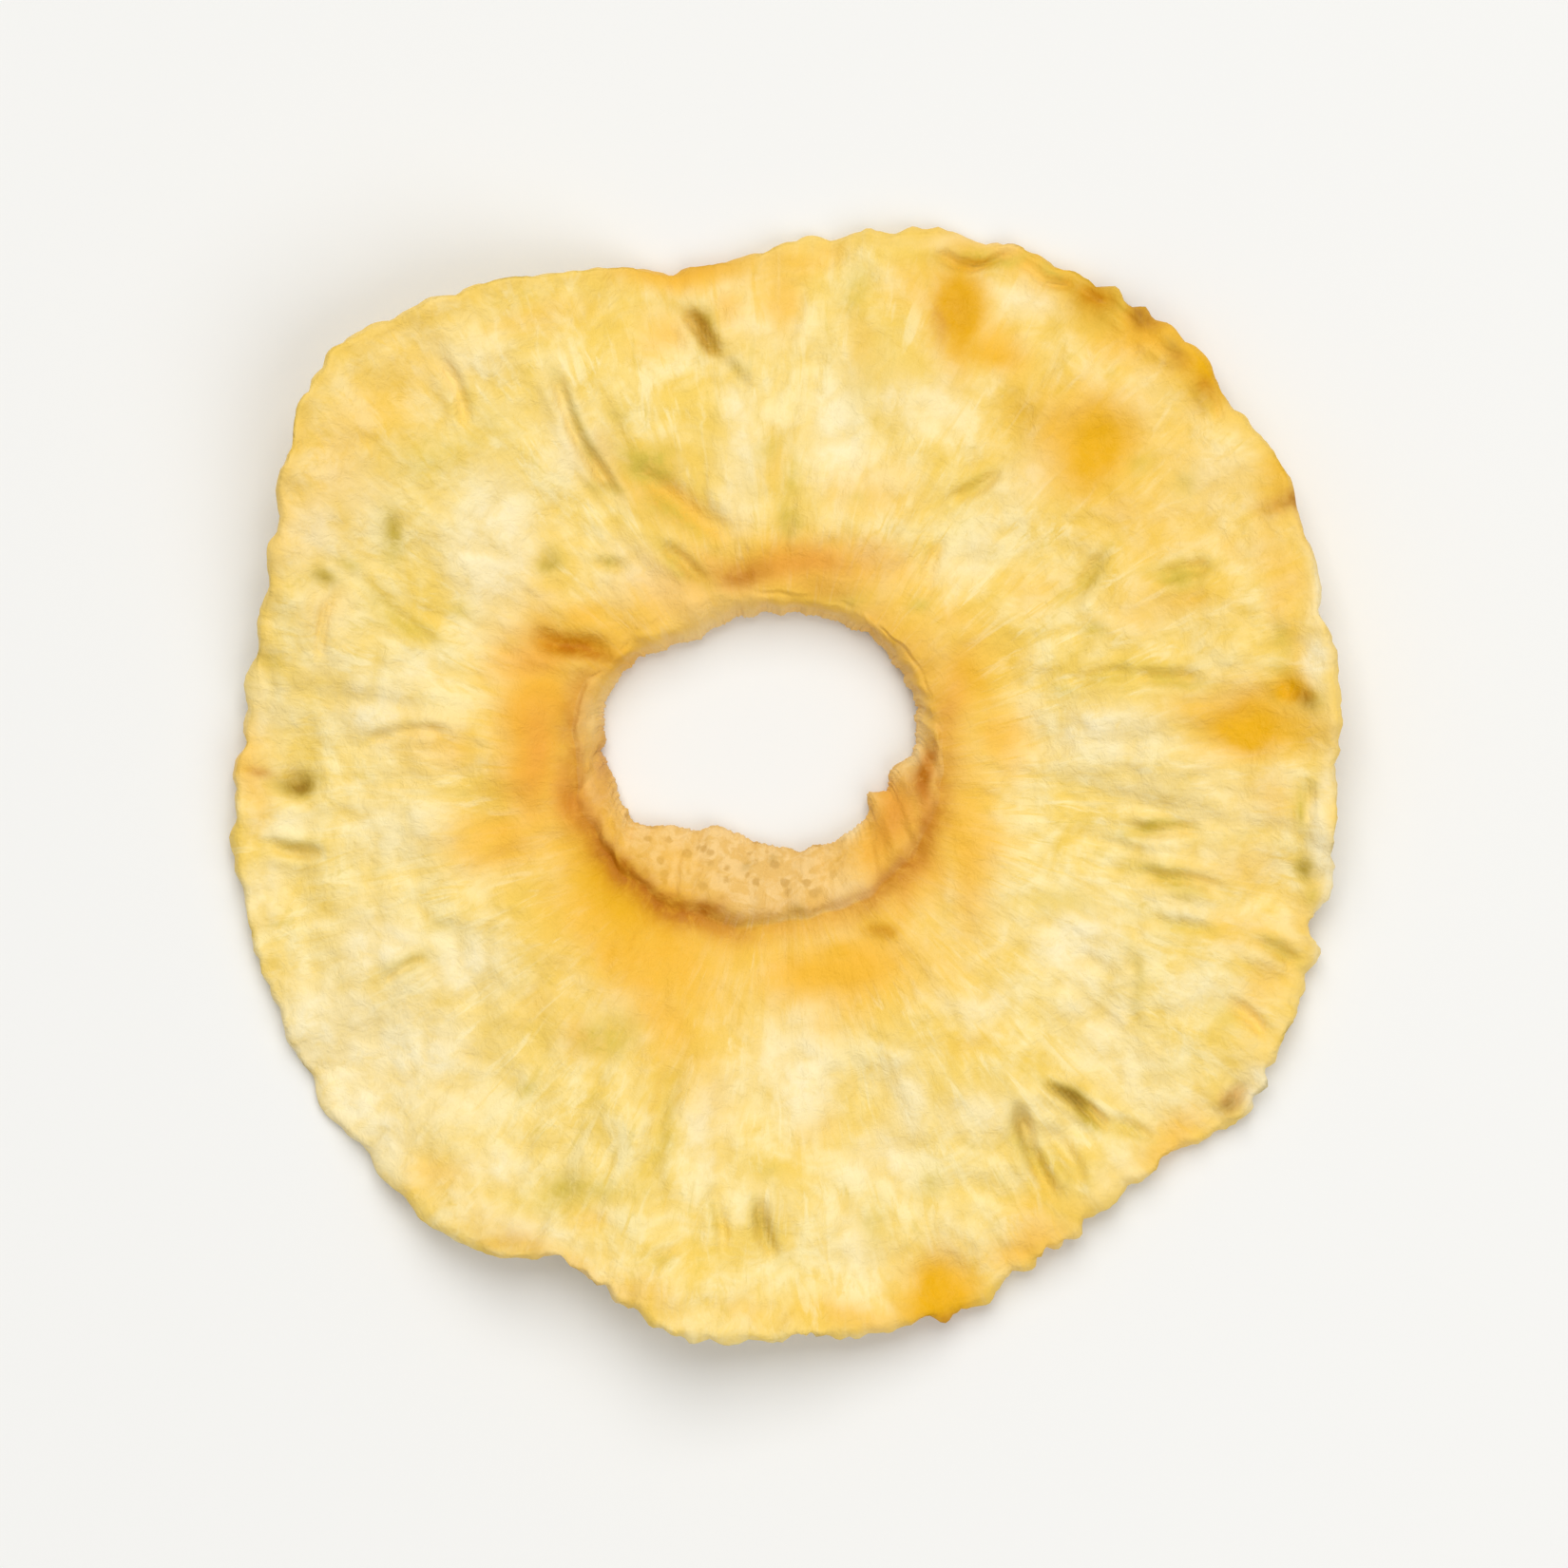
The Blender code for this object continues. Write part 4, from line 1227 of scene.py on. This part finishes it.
# How strong the painted shade in the grooves is
GROOVE_SHADE_STRENGTH = 0.45
MOTTLED_TINTS = (("gold", GOLDEN, 0.8), ("orange", ORANGE_FLESH, 0.8))
# Olive, brown and dark lay painted shade along folds and in pits as well as the flesh's own colours
FINE_TINTS = (
    ("olive", OLIVE_FLESH_AND_SHADE, 0.5),
    ("amber", AMBER_FLESH, 0.8),
    ("brown", BROWN_FLESH_AND_SHADE, 0.6),
    ("dark", DARK_SHADE_AND_SPOTS, 0.8),
)
TINT_THINNED = (0.28, 0.6)

# The finish: how strong and deep the bumps are, the range of roughness, and how much it reflects
STRAND_SHARE = 0.25
BUMP_STRENGTH = 0.5
BUMP_DEPTH = 0.4 * MM
GLOSS_STEP = (0.3, 0.7)
ROUGHNESS = (0.42, 0.66)
SPECULAR = 0.2


def flesh_colour(n, mottle, grain):
    """Mottled yellow flesh, with pale fibres and olive flecks that run outwards."""
    colour = n.mix(n.step(mottle, *MOTTLE_FLESH), FLESH_DEEP, FLESH)
    colour = n.mix(n.step(mottle, *MOTTLE_LIGHT), colour, FLESH_LIGHT)
    fibres = n.noise(n.scaled(grain, FIBRE_GRAIN), *FIBRE_TINTS)
    colour = n.mix(n.step(fibres, *FIBRE_LIGHT), colour, FLESH_LIGHT)
    colour = n.mix(n.step(fibres, *FIBRE_DEEP), colour, FLESH_DEEP)
    flecks = n.noise(n.scaled(grain, FLECK_GRAIN), *FLECK_TINTS)
    colour = n.mix(n.step(flecks, *FLECK_STEP), colour, OLIVE_FLESH_AND_SHADE)
    return n.mix(n.mask("rim"), colour, RIM_FLESH)


def core_colour(n, place, fine):
    """Beige core, dotted with the darker ends of its fibres."""
    cells = n.add("ShaderNodeTexVoronoi", {"Vector": place, "Scale": CORE_CELLS}).outputs["Distance"]
    uneven = n.math("ADD", cells, n.math("MULTIPLY", fine, CORE_UNEVEN))
    colour = n.mix(n.step(fine, *CORE_STEP), CORE_FLESH, CORE_LIGHT)
    return n.mix(n.step(uneven, *DOT_STEP), colour, CORE_DOTS)


def tinted(n, colour, name, paint_over, thinning, least):
    """Paints over a colour where a mask says so, thinned a little by noise."""
    strength = n.math("MULTIPLY", n.mask(name), n.step(thinning, *TINT_THINNED, least, 1.0))
    return n.mix(strength, colour, paint_over)


def surface_colour(n, place, grain):
    """The flesh and the core with their tints and spots, painted highlights and painted shade."""
    mottle = n.noise(place, *MOTTLE)
    fine = n.noise(place, *FINE)
    colour = n.mix(n.mask("core"), flesh_colour(n, mottle, grain), core_colour(n, place, fine))
    # Pale patches with painted highlights and painted light, then painted shade in the grooves
    colour = tinted(n, colour, "pale", PALE_FLESH_AND_PAINTED_LIGHT, fine, PALE_LEAST)
    colour = n.mix(n.math("MULTIPLY", n.mask("groove"), GROOVE_SHADE_STRENGTH), colour, GROOVE_SHADE)
    for name, paint_over, least in MOTTLED_TINTS:
        colour = tinted(n, colour, name, paint_over, mottle, least)
    for name, paint_over, least in FINE_TINTS:
        colour = tinted(n, colour, name, paint_over, fine, least)
    return colour


def fine_bump(n, place, grain):
    """Strands and crinkles finer than the mesh."""
    strand = n.noise(n.scaled(grain, STRAND_GRAIN), *STRAND_BUMPS)
    height = n.math("ADD", n.math("MULTIPLY", strand, STRAND_SHARE), n.noise(place, *CRINKLES))
    bump = {"Strength": BUMP_STRENGTH, "Distance": BUMP_DEPTH, "Height": height}
    return n.add("ShaderNodeBump", bump).outputs[0]


def flesh_material():
    material = bpy.data.materials.new("dried_flesh_fine")
    material.use_nodes = True
    n = Nodes(material)
    place = n.add("ShaderNodeTexCoord").outputs["Object"]
    grain = n.vector("grain")
    shader = material.node_tree.nodes["Principled BSDF"]
    gloss = n.step(n.noise(place, *GLOSS_PATCHES), *GLOSS_STEP, *ROUGHNESS)
    material.node_tree.links.new(surface_colour(n, place, grain), shader.inputs["Base Color"])
    material.node_tree.links.new(fine_bump(n, place, grain), shader.inputs["Normal"])
    material.node_tree.links.new(gloss, shader.inputs["Roughness"])
    shader.inputs["Specular IOR Level"].default_value = SPECULAR
    return material


def floor_material():
    material = bpy.data.materials.new("pale_floor")
    material.use_nodes = True
    shader = material.node_tree.nodes["Principled BSDF"]
    shader.inputs["Base Color"].default_value = FLOOR_PAINT
    shader.inputs["Roughness"].default_value = FLOOR_ROUGHNESS
    return material


def make_floor():
    half = FLOOR_SIZE / 2
    mesh = bpy.data.meshes.new("floor")
    corners = [(-half, -half, 0), (half, -half, 0), (half, half, 0), (-half, half, 0)]
    mesh.from_pydata(corners, [], [(0, 1, 2, 3)])
    mesh.materials.append(floor_material())
    floor = bpy.data.objects.new("floor", mesh)
    bpy.context.scene.collection.objects.link(floor)
    floor.location.z = -FLOOR_DROP
    floor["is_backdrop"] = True


def aim(thing, at):
    thing.rotation_euler = (Vector(at) - thing.location).to_track_quat("-Z", "Y").to_euler()


def make_light(name, place, size, power, colour):
    data = bpy.data.lights.new(name, "AREA")
    data.size = size
    data.energy = power
    data.color = colour
    light = bpy.data.objects.new(name, data)
    light.location = place
    aim(light, (0, 0, 0))
    bpy.context.scene.collection.objects.link(light)


def make_lights():
    for light in LIGHTS:
        make_light(*light)
    world = bpy.data.worlds.new("studio")
    bpy.context.scene.world = world
    world.use_nodes = True
    background = world.node_tree.nodes["Background"]
    background.inputs["Color"].default_value = (1.0, 1.0, 1.0, 1.0)
    background.inputs["Strength"].default_value = STUDIO_LIGHT
    bpy.context.scene.view_settings.view_transform = "Standard"


def make_camera():
    """Looks straight down, with the ring filling most of the frame."""
    low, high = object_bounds()
    centre = (low + high) / 2
    width = max(high.x - low.x, high.y - low.y)
    data = bpy.data.cameras.new("camera")
    data.lens = LENS
    data.sensor_width = SENSOR
    camera = bpy.data.objects.new("camera", data)
    camera.location = (centre.x, centre.y, high.z + width / FRAME_SHARE * LENS / SENSOR)
    camera.rotation_euler = (0, 0, 0)
    bpy.context.scene.collection.objects.link(camera)
    bpy.context.scene.camera = camera


def main():
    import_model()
    ring = bpy.data.objects.new("dried_ring", ring_mesh())
    ring.data.materials.append(flesh_material())
    bpy.context.scene.collection.objects.link(ring)
    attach(ring, "root")
    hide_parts(NODE)
    make_floor()
    make_lights()
    make_camera()


main()
